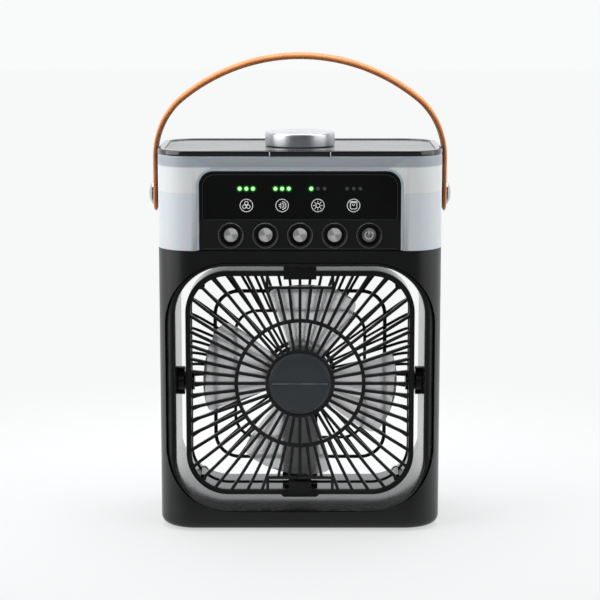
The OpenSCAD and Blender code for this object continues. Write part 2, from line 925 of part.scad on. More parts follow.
module pivot_collars() {
    color("#0d0e10") both_sides() difference() {
        rod_x(tilt_y, axis_z, collar_r, head_w / 2, boss_x - 0.15);
        rod_x(tilt_y, axis_z, pin_r, head_w / 2 - 1, boss_x + 1);
    }
}

// One blade: a sector of a disc, cut from a plate that is turned to its pitch
module blade() {
    reach = blade_tip_r + 10;
    side = tan(blade_angle / 2) * reach;
    intersection() {
        along_y(-12, 12) intersection() {
            circle(blade_tip_r, $fn = 90);
            polygon([[impeller_hub_r - 8, -8], [impeller_hub_r + 2, -13], [reach * 0.9, -side],
                     [reach * 0.9, side], [impeller_hub_r + 2, 13], [impeller_hub_r - 8, 8]]);
        }
        rotate([blade_pitch, 0, 0]) block(impeller_hub_r - 1, reach, -blade_t / 2, blade_t / 2, -60, 60);
    }
}

module impeller() {
    color("#c3c8cc", 0.8) head_at() {
        difference() {
            rod_y(0, 0, impeller_hub_r, hub_front_y, hub_back_y);
            rod_y(0, 0, magnet_r, hub_front_y + 2, hub_back_y + 1);
        }
        difference() {
            rod_y(0, 0, 4, hub_front_y + 1, hub_front_y + 3.6);
            rod_y(0, 0, shaft_r, hub_front_y + 2, hub_front_y + 5);
        }
        for (i = [0:blade_count - 1]) rotate([0, blade_start - i * 360 / blade_count, 0])
            translate([0, blade_y, 0]) blade();
    }
}

module rotor_magnet() {
    color("#3f4146") head_at() difference() {
        rod_y(0, 0, magnet_r, hub_front_y + 3, hub_back_y - 0.2);
        rod_y(0, 0, magnet_bore, hub_front_y + 2, hub_back_y + 1);
    }
}

module motor_shaft() {
    color("#a9acb0") head_at() rod_y(0, 0, shaft_r, hub_front_y + 2, motor_y + 0.9);
}

module shaft_clip() {
    color("#6d7074") head_at() difference() {
        rod_y(0, 0, 2.5, motor_y - 2.9 - 0.5, motor_y - 2.4);
        rod_y(0, 0, shaft_r, motor_y - 5, motor_y);
    }
}

// Strap
module strap_profile() {
    outer = strap_line(strap_t);
    last = len(outer) - 1;
    polygon(concat(strap_line(0), [for (i = [last:-1:0]) outer[i]]));
}

module strap() {
    color("#c8733c") difference() {
        union() {
            along_y(-strap_w / 2, strap_w / 2) strap_profile();
            both_sides() rod_x(0, rivet_z, strap_w / 2, strap_x, strap_x + strap_t);
        }
        both_sides() rod_x(0, rivet_z, rivet_r + running, strap_x - 1, strap_x + strap_t + 1);
    }
}

// A rivet standing on the origin along +Z: the shank, and the dome on its far end
module rivet(shank, dome_h) {
    dome_r = (rivet_head_r * rivet_head_r + dome_h * dome_h) / (2 * dome_h);
    cylinder(r = rivet_r, h = shank + 0.3);
    translate([0, 0, shank]) rotate_extrude() intersection() {
        translate([0, dome_h - dome_r]) circle(dome_r, $fn = 120);
        square([rivet_head_r, dome_h]);
    }
}

module strap_rivets() {
    inside = body_w / 2 - 4.8;
    color("#c9ccd0") both_sides() translate([inside, 0, rivet_z]) rotate([0, 90, 0])
        rivet(strap_x + strap_t + 0.15 - inside, rivet_dome);
}

module strap_bosses() {
    color("#2a2b2e") both_sides() difference() {
        rod_x(0, rivet_z, 7.5, body_w / 2 + 0.02, strap_x - 0.15);
        rod_x(0, rivet_z, rivet_r, body_w / 2 - 1, strap_x + 1);
    }
}

module rivet_nuts() {
    color("#8a8c90") both_sides() difference() {
        rod_x(0, rivet_z, 6, body_w / 2 - tank_wall - 1.8, body_w / 2 - tank_wall - 0.02);
        rod_x(0, rivet_z, rivet_r, body_w / 2 - 8, body_w / 2);
    }
}

front_shell();
rear_shell();
window_bezel();
wind_tunnel();
tank_deck();
base_plate();
rubber_feet();
shell_screws();
base_screws();
power_board();
power_inlet();
water_tank();
tank_gasket();
lid();
lid_inlay();
lid_tab();
filler_plug();
plug_seal();
knob_core();
knob_cap();
panel_body();
panel_rim();
display_window();
button_rings();
speed_button();
mist_button();
light_button();
timer_button();
power_button();
control_board();
tact_switches();
board_screws();
status_leds_lit();
status_leds_unlit();
mist_chamber();
atomiser_discs();
atomiser_seals();
wicks();
head_frame();
front_grille();
hub_badge();
grille_clips();
rear_guard();
motor_arm();
motor_base();
motor_stator();
motor_bearings();
head_screws();
pivot_bosses();
pivot_pins();
pivot_collars();
impeller();
rotor_magnet();
motor_shaft();
shaft_clip();
strap();
strap_rivets();
strap_bosses();
rivet_nuts();
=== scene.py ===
"""Looks of the portable misting fan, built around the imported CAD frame.

Shapes are worked out in millimetres (+Z up, front at -Y) and stored in metres, in the frame's own axes.
"""
import bpy
import bmesh
import json
import math
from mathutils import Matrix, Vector

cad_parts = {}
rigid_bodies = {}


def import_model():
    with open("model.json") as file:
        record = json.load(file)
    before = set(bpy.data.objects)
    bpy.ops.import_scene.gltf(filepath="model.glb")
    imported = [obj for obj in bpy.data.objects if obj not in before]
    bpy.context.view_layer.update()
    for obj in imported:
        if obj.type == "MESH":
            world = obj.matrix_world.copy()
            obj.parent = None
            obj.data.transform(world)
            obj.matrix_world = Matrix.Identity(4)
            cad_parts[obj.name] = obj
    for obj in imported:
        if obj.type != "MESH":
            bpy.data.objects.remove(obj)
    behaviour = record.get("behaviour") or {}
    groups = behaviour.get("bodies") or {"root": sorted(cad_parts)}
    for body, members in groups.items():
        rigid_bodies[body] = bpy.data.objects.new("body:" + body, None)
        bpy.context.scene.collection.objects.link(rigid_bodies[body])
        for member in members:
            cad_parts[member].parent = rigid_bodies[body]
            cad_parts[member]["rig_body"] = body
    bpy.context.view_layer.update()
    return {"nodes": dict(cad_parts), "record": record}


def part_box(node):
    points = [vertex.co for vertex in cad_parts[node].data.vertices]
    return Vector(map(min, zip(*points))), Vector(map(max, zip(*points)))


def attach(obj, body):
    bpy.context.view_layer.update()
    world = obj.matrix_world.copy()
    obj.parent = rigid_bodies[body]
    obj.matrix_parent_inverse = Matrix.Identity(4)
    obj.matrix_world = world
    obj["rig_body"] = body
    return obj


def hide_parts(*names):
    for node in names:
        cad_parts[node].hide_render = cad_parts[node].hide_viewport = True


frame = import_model()

MM = 0.001
SLOT_OF = {part["node"]: part["material_slot"] for part in frame["record"]["subparts"]}
BODY_OF = {node: thing["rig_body"] for node, thing in frame["nodes"].items()}


def box_mm(node):
    """Lowest and highest corner of a CAD node, in millimetres."""
    low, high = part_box(node)
    return low / MM, high / MM


# ---------------------------------------------------------------- driving sizes, in millimetres
BODY_LOW, BODY_HIGH = box_mm("front_shell")
BODY_W = BODY_HIGH.x - BODY_LOW.x
REAR_Y = box_mm("rear_shell")[1].y
CORNER_R = 22.0
BEZEL_LOW, BEZEL_HIGH = box_mm("window_bezel")
WINDOW_R = 39.0
TUNNEL_W, TUNNEL_H, TUNNEL_R = 151.0, 149.8, 31.0
AXIS_Z = box_mm("front_grille")[0].z / 2 + box_mm("front_grille")[1].z / 2
BUTTON_NAMES = ["speed_button", "mist_button", "light_button", "timer_button", "power_button"]
# The display: the symbols, and the lamps over them with how many are lit in each group
ICON_PITCH, ICON_Z = 21.2, 199.9
LED_PITCH, LED_R, LED_Z = 3.95, 1.05, 209.9
LIT_IN_GROUP = [3, 3, 1, 0]
# The rear guard: half width and corner radius of its square rings, the radius of its hub ring, its bars
# all round, how far each side of straight down has no bent bar (degrees), and how far in its lugs stand
OUTER_RING, INNER_RING = (53.0, 15.0), (40.5, 14.0)
GUARD_HUB_R, GUARD_BARS, OPEN_BELOW, HEAD_LUG = 21, 60, 57, 9.6
# The blades: how many, half the thickness in the middle, and how far the middle bows forward
BLADE_COUNT, BLADE_THICK, BLADE_CAMBER = 4, 0.75, 1.1


# ---------------------------------------------------------------- mesh tools, in millimetres
def arc(centre, radius, start, stop, steps=6):
    """Points of an arc in the plane, from one angle in degrees to another."""
    turns = [math.radians(start + (stop - start) * i / steps) for i in range(steps + 1)]
    return [(centre[0] + radius * math.cos(t), centre[1] + radius * math.sin(t)) for t in turns]


def rounded_outline(width, height, top_r, steps=12, centre=(0.0, 0.0), low_r=None):
    """Points of a rounded rectangle, anticlockwise from its right; low_r is for unlike lower corners."""
    points = []
    low_r = low_r or top_r
    corners = [(1, 1, top_r), (-1, 1, top_r), (-1, -1, low_r), (1, -1, low_r)]
    for quarter, (sx, sz, radius) in enumerate(corners):
        middle = (centre[0] + sx * (width / 2 - radius), centre[1] + sz * (height / 2 - radius))
        points += arc(middle, radius, 90 * quarter, 90 * quarter + 90, steps)
    return points


def skin(bm, rings, caps=False):
    """Joins closed rings of points, each as long as the next, into a surface."""
    rows = [[bm.verts.new(p) for p in ring] for ring in rings]
    count = len(rows[0])
    for lower, upper in zip(rows, rows[1:]):
        for i in range(count):
            j = (i + 1) % count
            bm.faces.new((lower[i], lower[j], upper[j], upper[i]))
    if caps:
        bm.faces.new(rows[0])
        bm.faces.new(list(reversed(rows[-1])))
    return rows


def mark(rows, layer, value):
    """Gives every corner in some rows of a skin one value."""
    for row in rows:
        for vert in row:
            vert[layer] = value


def turned(bm, profile, centre, axis="y", steps=96, closed=False):
    """A profile of (radius, place along the axis) turned round an axis through centre."""
    profile = profile + profile[:1] if closed else profile
    rings = []
    for radius, along in profile:
        ring = []
        for i in range(steps):
            a = 2 * math.pi * i / steps
            u, v = radius * math.cos(a), radius * math.sin(a)
            offset = {"x": (along, u, v), "y": (u, along, v), "z": (u, v, along)}[axis]
            ring.append(Vector(centre) + Vector(offset))
        rings.append(ring)
    skin(bm, rings)


def tube(bm, points, radius, cyclic=False):
    """A round bar along a line of points."""
    points = [Vector(p) for p in points]
    count, sides = len(points), 8
    rings = []
    side = None
    for i, point in enumerate(points):
        ahead = points[(i + 1) % count] if cyclic or i + 1 < count else point
        behind = points[i - 1] if cyclic or i > 0 else point
        along = (ahead - behind).normalized()
        if side is None:
            side = along.orthogonal().normalized()
        side = (side - along * side.dot(along)).normalized()
        up = along.cross(side)
        turns = [2 * math.pi * k / sides for k in range(sides)]
        rings.append([point + radius * (math.cos(t) * side + math.sin(t) * up) for t in turns])
    if cyclic:
        rings.append(rings[0])
    skin(bm, rings, caps=not cyclic)


def placed(name, data):
    """A new object in the scene."""
    thing = bpy.data.objects.new(name, data)
    bpy.context.scene.collection.objects.link(thing)
    return thing


def stored(bm, name, material, scale=1.0):
    """Turns a mesh under construction into an object of one material."""
    bmesh.ops.recalc_face_normals(bm, faces=bm.faces)
    bmesh.ops.scale(bm, vec=(scale, scale, scale), verts=bm.verts)
    mesh = bpy.data.meshes.new(name)
    bm.to_mesh(mesh)
    bm.free()
    mesh.materials.append(material)
    return placed(name, mesh)


def finished(bm, name, slot, body, nodes=(), sharp=35.0):
    """Stores a millimetre mesh as a piece in metres, shades it, and ties it to the frame."""
    bmesh.ops.remove_doubles(bm, verts=bm.verts, dist=1e-4)
    piece = stored(bm, name, MATERIALS[slot], MM)
    piece.data.polygons.foreach_set("use_smooth", [True] * len(piece.data.polygons))
    piece.data.set_sharp_from_angle(angle=math.radians(sharp))
    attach(piece, body)
    if nodes:
        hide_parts(*nodes)
    return piece


def softened(node, radius):
    """Replaces a CAD node by a copy whose sharp edges are rounded, with the rounded edges marked as rubbed.
    """
    bm = bmesh.new()
    bm.from_mesh(frame["nodes"][node].data)
    bmesh.ops.scale(bm, vec=(1 / MM, 1 / MM, 1 / MM), verts=bm.verts)
    same_place, same_plane, sharp = 2e-3, math.radians(0.6), math.radians(35.0)
    bmesh.ops.remove_doubles(bm, verts=bm.verts, dist=same_place)
    bmesh.ops.dissolve_limit(bm, angle_limit=same_plane, verts=bm.verts, edges=bm.edges)
    bmesh.ops.recalc_face_normals(bm, faces=bm.faces)
    wear_and_highlight = bm.verts.layers.float.new("wear_and_highlight")
    edges = [e for e in bm.edges if e.is_manifold and e.calc_face_angle(0.0) > sharp]
    made = bmesh.ops.bevel(bm, geom=edges, offset=radius, offset_type="OFFSET", segments=2,
                           profile=0.5, affect="EDGES", clamp_overlap=True)
    strips = set(made["faces"])
    for vert in made["verts"]:
        if all(face in strips for face in vert.link_faces):
            vert[wear_and_highlight] = 1.0
    piece = finished(bm, node + "_body", SLOT_OF[node], BODY_OF[node], (node,), sharp=60.0)
    weigh = piece.modifiers.new("weigh", "WEIGHTED_NORMAL")
    weigh.keep_sharp = True
    applied(piece)


def applied(piece):
    """Applies a piece's modifiers to its mesh."""
    graph = bpy.context.evaluated_depsgraph_get()
    mesh = bpy.data.meshes.new_from_object(piece.evaluated_get(graph), depsgraph=graph)
    piece.modifiers.clear()
    piece.data = mesh


# ---------------------------------------------------------------- materials
class Finish:
    """A Principled material with calls that wire procedural detail into it."""

    def __init__(self, name, colour, roughness, metallic=0.0, **sockets):
        self.material = bpy.data.materials.new(name)
        self.material.use_nodes = True
        self.nodes = self.material.node_tree.nodes
        self.links = self.material.node_tree.links
        self.shader = self.nodes["Principled BSDF"]
        self.colour = self.paint = colour
        self.roughness = roughness
        self.adjust(self.shader, Base_Color=(*colour, 1.0), Roughness=roughness, Metallic=metallic,
                    **sockets)
        self.place = self.node("TexCoord").outputs["Object"]
        self.height = None

    def adjust(self, node, **values):
        """Sets some of a node's sockets; an underscore in a name stands for a space."""
        for socket, value in values.items():
            node.inputs[socket.replace("_", " ")].default_value = value
        return node

    def node(self, kind, **values):
        """A new node with some of its sockets set."""
        return self.adjust(self.nodes.new("ShaderNode" + kind), **values)

    def link(self, output, socket, node=None):
        """Wires an output into a socket of a node, which is the shader if none is given."""
        self.links.new(output, (node or self.shader).inputs[socket])

    def split(self, vector):
        """The three coordinates of a vector output."""
        node = self.node("SeparateXYZ")
        self.link(vector, "Vector", node)
        return node.outputs

    def stretched(self, scale):
        """The surface's own place, in units of 1/scale metres along each axis."""
        mapping = self.node("Mapping", Scale=scale)
        self.link(self.place, "Vector", mapping)
        return mapping.outputs["Vector"]

    def noise(self, size, detail=3.0, stretch=(1, 1, 1)):
        """Noise whose grains are about size millimetres across."""
        node = self.node("TexNoise", Scale=1.0, Detail=detail)
        self.link(self.stretched([s / (size * MM) for s in stretch]), "Vector", node)
        return node.outputs["Fac"]

    def cells(self, size):
        """Voronoi cells about size millimetres across."""
        node = self.node("TexVoronoi", Scale=1.0)
        self.link(self.stretched([1 / (size * MM)] * 3), "Vector", node)
        return node.outputs["Distance"]

    def turning(self, size, across, along):
        """Fine lathe lines of about size millimetres, round the axis that across leaves out."""
        places = self.split(self.place)
        radius = self.reach(*(places[name] for name in across))
        joined = self.node("CombineXYZ")
        for socket, length in (("X", radius), ("Y", places[along])):
            self.link(self.math("MULTIPLY", length, 1 / (size * MM)), socket, joined)
        node = self.node("TexNoise", Scale=1.0, Detail=2.0)
        self.link(joined.outputs[0], "Vector", node)
        return node.outputs["Fac"]

    def spun(self, axis):
        """Runs the brushing round the piece's own middle."""
        tangent = self.node("Tangent")
        tangent.direction_type = "RADIAL"
        tangent.axis = axis
        self.link(tangent.outputs[0], "Tangent")
        return self

    def math(self, operation, first, second=None):
        node = self.node("Math")
        node.operation = operation
        for index, value in enumerate((first, second)):
            if isinstance(value, (int, float)):
                node.inputs[index].default_value = value
            elif value is not None:
                self.links.new(value, node.inputs[index])
        return node.outputs[0]

    def reach(self, first, second):
        """Distance from an axis, from the two coordinates across it."""
        squares = [self.math("MULTIPLY", value, value) for value in (first, second)]
        return self.math("SQRT", self.math("ADD", *squares))

    def span(self, value, low, high, out_low=0.0, out_high=1.0):
        """Maps low..high smoothly to out_low..out_high, clamped."""
        return smooth_ramp(self.nodes, self.links, value, (low, high, out_low, out_high))

    def attribute(self, name):
        node = self.node("Attribute")
        node.attribute_name = name
        return node.outputs["Fac"]

    def blend(self, factor, first, second):
        """A colour between two colours; either may be an output."""
        node = self.node("Mix")
        node.data_type = "RGBA"
        self.links.new(factor, node.inputs[0])
        for index, value in ((6, first), (7, second)):
            if isinstance(value, tuple):
                node.inputs[index].default_value = (*value, 1.0)
            else:
                self.links.new(value, node.inputs[index])
        return node.outputs[2]

    def shade(self, amount, size, detail=3.0):
        """Lightens and darkens the base colour by up to amount, in soft clouds."""
        cloud = self.noise(size, detail)
        darker = tuple(c * (1 - amount) for c in self.colour)
        lighter = tuple(min(1.0, c * (1 + amount)) for c in self.colour)
        self.paint = self.blend(self.span(cloud, 0.3, 0.7), darker, lighter)
        self.link(self.paint, "Base Color")
        return self

    def uneven(self, amount, size, detail=4.0):
        """Varies the roughness by up to amount either way."""
        value = self.span(self.noise(size, detail), 0.3, 0.7,
                          max(0.02, self.roughness - amount), self.roughness + amount)
        self.link(value, "Roughness")
        return self

    def relief(self, height, depth, strength=1.0):
        """Adds a height map; depth is in millimetres."""
        bump = self.node("Bump", Strength=strength, Distance=depth * MM)
        self.link(height, "Height", bump)
        if self.height is not None:
            self.link(self.height, "Normal", bump)
        self.height = bump.outputs["Normal"]
        self.link(self.height, "Normal")
        return self

    def lighten_rubbed_and_highlit(self, colour):
        """Lightens the marked corners, in patches: rubbed rounded edges, and painted highlights along the
        bezel's crest and the hub badge's ridge.
        """
        strength = 0.6
        patches = self.span(self.noise(9.0, 4.0), 0.35, 0.7, 0.25, 1.0)
        # Marked corners are lightened: rubbed edges, and painted highlights where a piece marks them.
        edge = self.math("MULTIPLY", self.attribute("wear_and_highlight"), patches)
        edge = self.math("MULTIPLY", edge, strength)
        self.paint = self.blend(edge, self.paint, colour)
        self.link(self.paint, "Base Color")
        return self


def smooth_ramp(nodes, links, value, limits):
    """A node that maps a value smoothly, with limits (from low, from high, to low, to high)."""
    node = nodes.new("ShaderNodeMapRange")
    node.interpolation_type = "SMOOTHSTEP"
    for socket, number in zip(range(1, 5), limits):
        node.inputs[socket].default_value = number
    links.new(value, node.inputs[0])
    return node.outputs[0]


def moulded(name, colour, roughness, grain=0.35, depth=0.008, edge=1.8, gloss=0.02, **sockets):
    """Moulded plastic: soft clouds in colour and gloss, a fine spark texture, polished edges, and painted
    highlights where a piece marks them.
    """
    finish = Finish(name, colour, roughness, **sockets)
    finish.shade(0.06, 26.0).uneven(gloss, 14.0)
    finish.relief(finish.noise(grain, 2.0), depth)
    finish.lighten_rubbed_and_highlit(tuple(min(1.0, c * edge + 0.004) for c in colour))
    return finish.material


def brushed(name, colour, roughness, stretch=(1, 1, 1), anisotropic=0.5, depth=0.006):
    """Metal with fine brush lines that run along the axis that stretch leaves long."""
    finish = Finish(name, colour, roughness, metallic=1.0, Anisotropic=anisotropic)
    finish.shade(0.06, 12.0)
    lines = finish.noise(0.25, 3.0, stretch)
    finish.relief(lines, depth)
    gloss = finish.span(lines, 0.3, 0.7, roughness * 0.75, roughness * 1.3)
    finish.link(gloss, "Roughness")
    return finish.material


def housing_material():
    return moulded("satin_black_housing", (0.006, 0.0064, 0.007), 0.33, grain=0.3, depth=0.006,
                   edge=2.2, Specular_IOR_Level=0.42)


def tank_material():
    """Frosted translucent plastic: a painted shade band, darker and bluer, where the lid's skirt stands
    behind the wall, with a faint moulded fill line.
    """
    finish = Finish("frosted_tank", (0.84, 0.855, 0.87), 0.36, Transmission_Weight=0.30, IOR=1.46,
                    Subsurface_Weight=0.25, Subsurface_Scale=0.004)
    height = finish.split(finish.place)["Z"]
    skirt_shade_band = finish.span(height, 0.2218, 0.2232)
    low_band = finish.span(height, 0.2068, 0.2064)
    line_foot, line_top = finish.span(height, 0.2063, 0.2066), finish.span(height, 0.2069, 0.2072)
    fill_line = finish.math("SUBTRACT", line_foot, line_top)
    body = finish.blend(low_band, (0.90, 0.905, 0.912), (0.79, 0.825, 0.87))
    body = finish.blend(finish.math("MULTIPLY", fill_line, 0.35), body, (0.58, 0.63, 0.68))
    # The top band is painted shade: the dark lid skirt behind the wall, darker and bluer.
    body = finish.blend(skirt_shade_band, body, (0.46, 0.51, 0.57))
    finish.link(body, "Base Color")
    finish.uneven(0.06, 5.0)
    finish.relief(finish.noise(0.5, 2.0), 0.01)
    return finish.material


def leather_material():
    """Tan leather: a light grain face, and a darker, rougher lower layer with its edge cord; the darker
    colour also grades up the upper layer's rounded sides as painted shade.
    """
    finish = Finish("tan_leather", (0.56, 0.20, 0.06), 0.45, Specular_IOR_Level=0.3,
                    Sheen_Weight=0.05, Sheen_Roughness=0.4)
    grain = finish.cells(0.9)
    clouds = finish.span(finish.noise(14.0, 5.0), 0.3, 0.7)
    face = finish.blend(clouds, (0.62, 0.215, 0.055), (0.73, 0.285, 0.088))
    pores = finish.span(finish.noise(0.6, 3.0), 0.55, 0.75, 0.0, 0.15)
    face = finish.blend(pores, face, (0.36, 0.105, 0.028))
    flecks = finish.span(finish.noise(0.8, 4.0), 0.35, 0.65)
    hem_and_shade_paint = finish.blend(flecks, (0.14, 0.040, 0.010), (0.30, 0.095, 0.026))
    # The marked share darkens the leather: the lower layer and its cord in their own darker colour, and
    # painted shade grading up the upper layer's sides.
    finish.link(finish.blend(finish.attribute("hem_and_side_shade"), face, hem_and_shade_paint), "Base Color")
    finish.uneven(0.05, 5.0)
    finish.relief(finish.span(grain, 0.0, 0.5), 0.008, 0.5)
    finish.relief(finish.noise(0.35, 3.0), 0.003, 0.4)
    return finish.material


def blade_material():
    """Smoky translucent moulded blades, streaked a little along the flow."""
    finish = Finish("smoky_blades", (0.93, 0.94, 0.95), 0.34, Transmission_Weight=0.68, IOR=1.35,
                    Subsurface_Weight=0.2, Subsurface_Scale=0.003)
    finish.shade(0.05, 18.0, 4.0).uneven(0.03, 12.0)
    finish.relief(finish.noise(1.4, 3.0), 0.008)
    return finish.material


def lit_material(name, colour, strength):
    finish = Finish(name, colour, 0.25, Emission_Strength=strength, Emission_Color=(*colour, 1.0))
    finish.shade(0.04, 1.0)
    return finish.material


def display_material():
    """Polished black window with the faintest haze and a green glow round each lit lens."""
    finish = Finish("polished_display", (0.0036, 0.0038, 0.0040), 0.12, Specular_IOR_Level=0.22,
                    Emission_Color=(0.05, 0.85, 0.06, 1.0))
    finish.shade(0.2, 30.0)
    finish.link(finish.span(finish.noise(11.0, 5.0), 0.3, 0.75, 0.09, 0.17), "Roughness")
    finish.relief(finish.noise(3.0, 2.0), 0.002)
    shine = finish.math("MULTIPLY", finish.math("POWER", finish.attribute("glow"), 2.2), 0.9)
    finish.link(shine, "Emission Strength")
    return finish.material


def knob_material():
    """Turned metal: fine lathe lines round the rim and across the top."""
    finish = Finish("turned_knob", (0.66, 0.67, 0.69), 0.33, metallic=1.0, Anisotropic=0.25)
    finish.shade(0.03, 9.0).spun("Z")
    lines = finish.turning(0.16, "XY", "Z")
    finish.relief(lines, 0.0008)
    finish.link(finish.span(lines, 0.3, 0.7, 0.30, 0.36), "Roughness")
    return finish.material


def disc_material(name, colour):
    """A button's disc: spun finish, with a painted highlight: the colour is lighter in two opposite fans
    from its centre and darker between them.
    """
    finish = Finish(name, colour, 0.34, metallic=0.15, Anisotropic=0.9)
    own = finish.split(finish.node("TexCoord").outputs["Generated"])
    across, up = (finish.math("SUBTRACT", own[name], 0.5) for name in "XZ")
    turn = finish.math("ADD", finish.math("MULTIPLY", finish.math("ARCTAN2", up, across), 2.0), 0.9)
    ripple = finish.math("MULTIPLY", finish.noise(1.0), 0.6)
    # The fans are painted highlight and painted shade: lighter and darker sectors round the disc's centre.
    fan = finish.math("ADD", finish.math("COSINE", turn), ripple)
    darker = tuple(c * 0.55 for c in colour)
    finish.link(finish.blend(finish.span(fan, -0.1, 1.1), colour, darker), "Base Color")
    finish.uneven(0.03, 1.2)
    finish.spun("Y").relief(finish.noise(0.3, 2.0), 0.0008)
    return finish.material


def fabric_material(name, colour):
    finish = Finish(name, colour, 0.9, Sheen_Weight=0.3)
    finish.shade(0.1, 1.2).uneven(0.05, 1.0)
    finish.relief(finish.noise(0.25, 4.0, (1, 1, 0.3)), 0.12)
    return finish.material


def print_and_highlight_material():
    # The pale ink of the icons and the power mark, also used for the lid tab's painted highlights.
    finish = Finish("printed_icons_and_highlights", (0.80, 0.81, 0.81), 0.5)
    finish.shade(0.06, 0.8).uneven(0.05, 0.6)
    finish.relief(finish.noise(0.15, 2.0), 0.004)
    return finish.material


def make_materials():
    head_black = (0.009, 0.00936, 0.01008)
    return {
        "housing": housing_material(),
        # The bezel's lightened corners are a painted highlight along its crest.
        "bezel": moulded("bezel_black", (0.008, 0.0084, 0.009), 0.28, depth=0.004, edge=3.0,
                         Specular_IOR_Level=0.26),
        "tunnel": moulded("tunnel_black", (0.012, 0.0125, 0.0132), 0.18, depth=0.003, edge=1.6, gloss=0.01,
                          Specular_IOR_Level=0.5),
        "inner_plastic": moulded("inner_black", (0.02, 0.02, 0.022), 0.45),
        "rubber": moulded("rubber_feet_black", (0.022, 0.022, 0.022), 0.75, grain=0.5, depth=0.03),
        "screw_steel": brushed("zinc_screws", (0.55, 0.56, 0.58), 0.35),
        "circuit_board": moulded("green_board", (0.02, 0.14, 0.05), 0.35, grain=1.2, depth=0.03),
        "inlet_metal": brushed("bright_inlet", (0.68, 0.69, 0.71), 0.28, (1, 0.1, 1)),
        "tank": tank_material(),
        "silicone": moulded("silicone", (0.62, 0.64, 0.64), 0.5, Subsurface_Weight=0.2,
                            Subsurface_Scale=0.002),
        "lid_gloss": moulded("lid_black", (0.010, 0.0105, 0.012), 0.14, depth=0.002, edge=1.7,
                             Coat_Weight=0.5, Coat_Roughness=0.08),
        "lid_inlay": moulded("satin_inlay", (0.10, 0.102, 0.108), 0.20, grain=0.4, depth=0.003, gloss=0.01,
                             Specular_IOR_Level=0.42, Coat_Weight=0.08, Coat_Roughness=0.15),
        "seal_rubber": moulded("red_seal", (0.30, 0.03, 0.02), 0.5),
        "knob_metal": knob_material(),
        "panel_satin": moulded("panel_black", (0.0075, 0.0078, 0.0084), 0.40, grain=0.3, depth=0.008,
                               edge=2.6, Specular_IOR_Level=0.3),
        "panel_rim": moulded("frosted_rim", (0.42, 0.48, 0.54), 0.35, Transmission_Weight=0.2),
        "display": display_material(),
        "ring_metal": brushed("dark_rings", (0.30, 0.305, 0.31), 0.24, anisotropic=0.0, depth=0.001),
        "button_metal": disc_material("spun_disc", (0.97, 0.97, 0.98)),
        "power_disc": disc_material("dark_spun_disc", (0.34, 0.34, 0.35)),
        "switch_black": moulded("switches", (0.03, 0.03, 0.033), 0.5),
        "led_lit": lit_material("lit_lens", (0.46, 1.0, 0.42), 0.82),
        "led_unlit": moulded("smoked_lens", (0.055, 0.056, 0.062), 0.3, depth=0.004),
        "piezo_brass": brushed("piezo_brass", (0.72, 0.54, 0.22), 0.3),
        "cotton": fabric_material("cotton_wick", (0.86, 0.84, 0.79)),
        "grille": moulded("grille_black", head_black, 0.30, depth=0.004, edge=2.4,
                          Specular_IOR_Level=0.4),
        "head_frame": moulded("frame_black", head_black, 0.12, depth=0.002,
                              edge=2.0, gloss=0.01, Specular_IOR_Level=0.8),
        # The hub badge's lightened corners are a painted highlight on its ridge.
        "hub_badge": moulded("hub_charcoal", (0.038, 0.043, 0.049), 0.30, depth=0.004, edge=4.5),
        "copper": brushed("copper_winding", (0.72, 0.30, 0.14), 0.35, (1, 0.1, 1)),
        "bronze": brushed("sintered_bronze", (0.45, 0.31, 0.14), 0.45),
        "pivot_black": moulded("pivot_gloss", (0.009, 0.009, 0.010), 0.2, depth=0.003),
        "pin_steel": brushed("ground_steel", (0.62, 0.63, 0.65), 0.2, (0.1, 1, 1)),
        "blades": blade_material(),
        "magnet": moulded("ferrite", (0.045, 0.045, 0.05), 0.5, grain=0.5, depth=0.02),
        "leather": leather_material(),
        "rivet_chrome": brushed("polished_rivet", (0.50, 0.51, 0.53), 0.18, anisotropic=0.0, depth=0.001),
        "print_and_highlight": print_and_highlight_material(),
        # A lighter grey for the painted edge highlights on the panel.
        "edge_highlight": moulded("panel_edge_highlight", (0.035, 0.037, 0.04), 0.35, depth=0.002),
    }


MATERIALS = make_materials()


# ---------------------------------------------------------------- the pieces
def plan_front(x, inset):
    """How far forward the housing's rounded plan reaches at x, drawn in by inset."""
    straight = BODY_W / 2 - CORNER_R
    radius = CORNER_R - inset
    over = min(max(0.0, abs(x) - straight), radius)
    return -(REAR_Y - CORNER_R) - math.sqrt(radius * radius - over * over)


def make_bezel():
    """The rounded moulding between the housing's window and the mouth of the wind tunnel."""
    recess = 1.4
    back = BEZEL_HIGH.y
    width = BEZEL_HIGH.x - BEZEL_LOW.x
    height = BEZEL_HIGH.z - BEZEL_LOW.z
    middle = (BEZEL_HIGH.z + BEZEL_LOW.z) / 2
    outer = rounded_outline(width, height, WINDOW_R, 20, (0, middle))
    inner = rounded_outline(TUNNEL_W, TUNNEL_H, TUNNEL_R, 20, (0, AXIS_Z))
    profile = [(0.0, 4.0), (0.0, 1.3), (0.03, 0.7), (0.1, 0.25), (0.2, 0.05), (0.35, 0.0), (0.5, 0.1),
               (0.64, 0.4), (0.78, 1.0), (0.9, 2.0), (0.97, 3.1), (1.0, 4.4), (1.0, 30.0)]
    rings = []
    for share, depth in profile:
        ring = []
        for (x0, z0), (x1, z1) in zip(outer, inner):
            x, z = x0 + (x1 - x0) * share, z0 + (z1 - z0) * share
            ring.append((x, min(plan_front(x, recess) + depth, back), z))
        rings.append(ring)
    bm = bmesh.new()
    wear_and_highlight = bm.verts.layers.float.new("wear_and_highlight")
    # The rows along the crest are marked for lightening: a painted highlight along the bezel's crest.
    for row, (share, _) in zip(skin(bm, rings), profile):
        mark([row], wear_and_highlight, 1.0 if 0.15 < share < 0.4 else 0.0)
    finished(bm, "window_bezel_body", "bezel", "housing", ("window_bezel",), sharp=50)


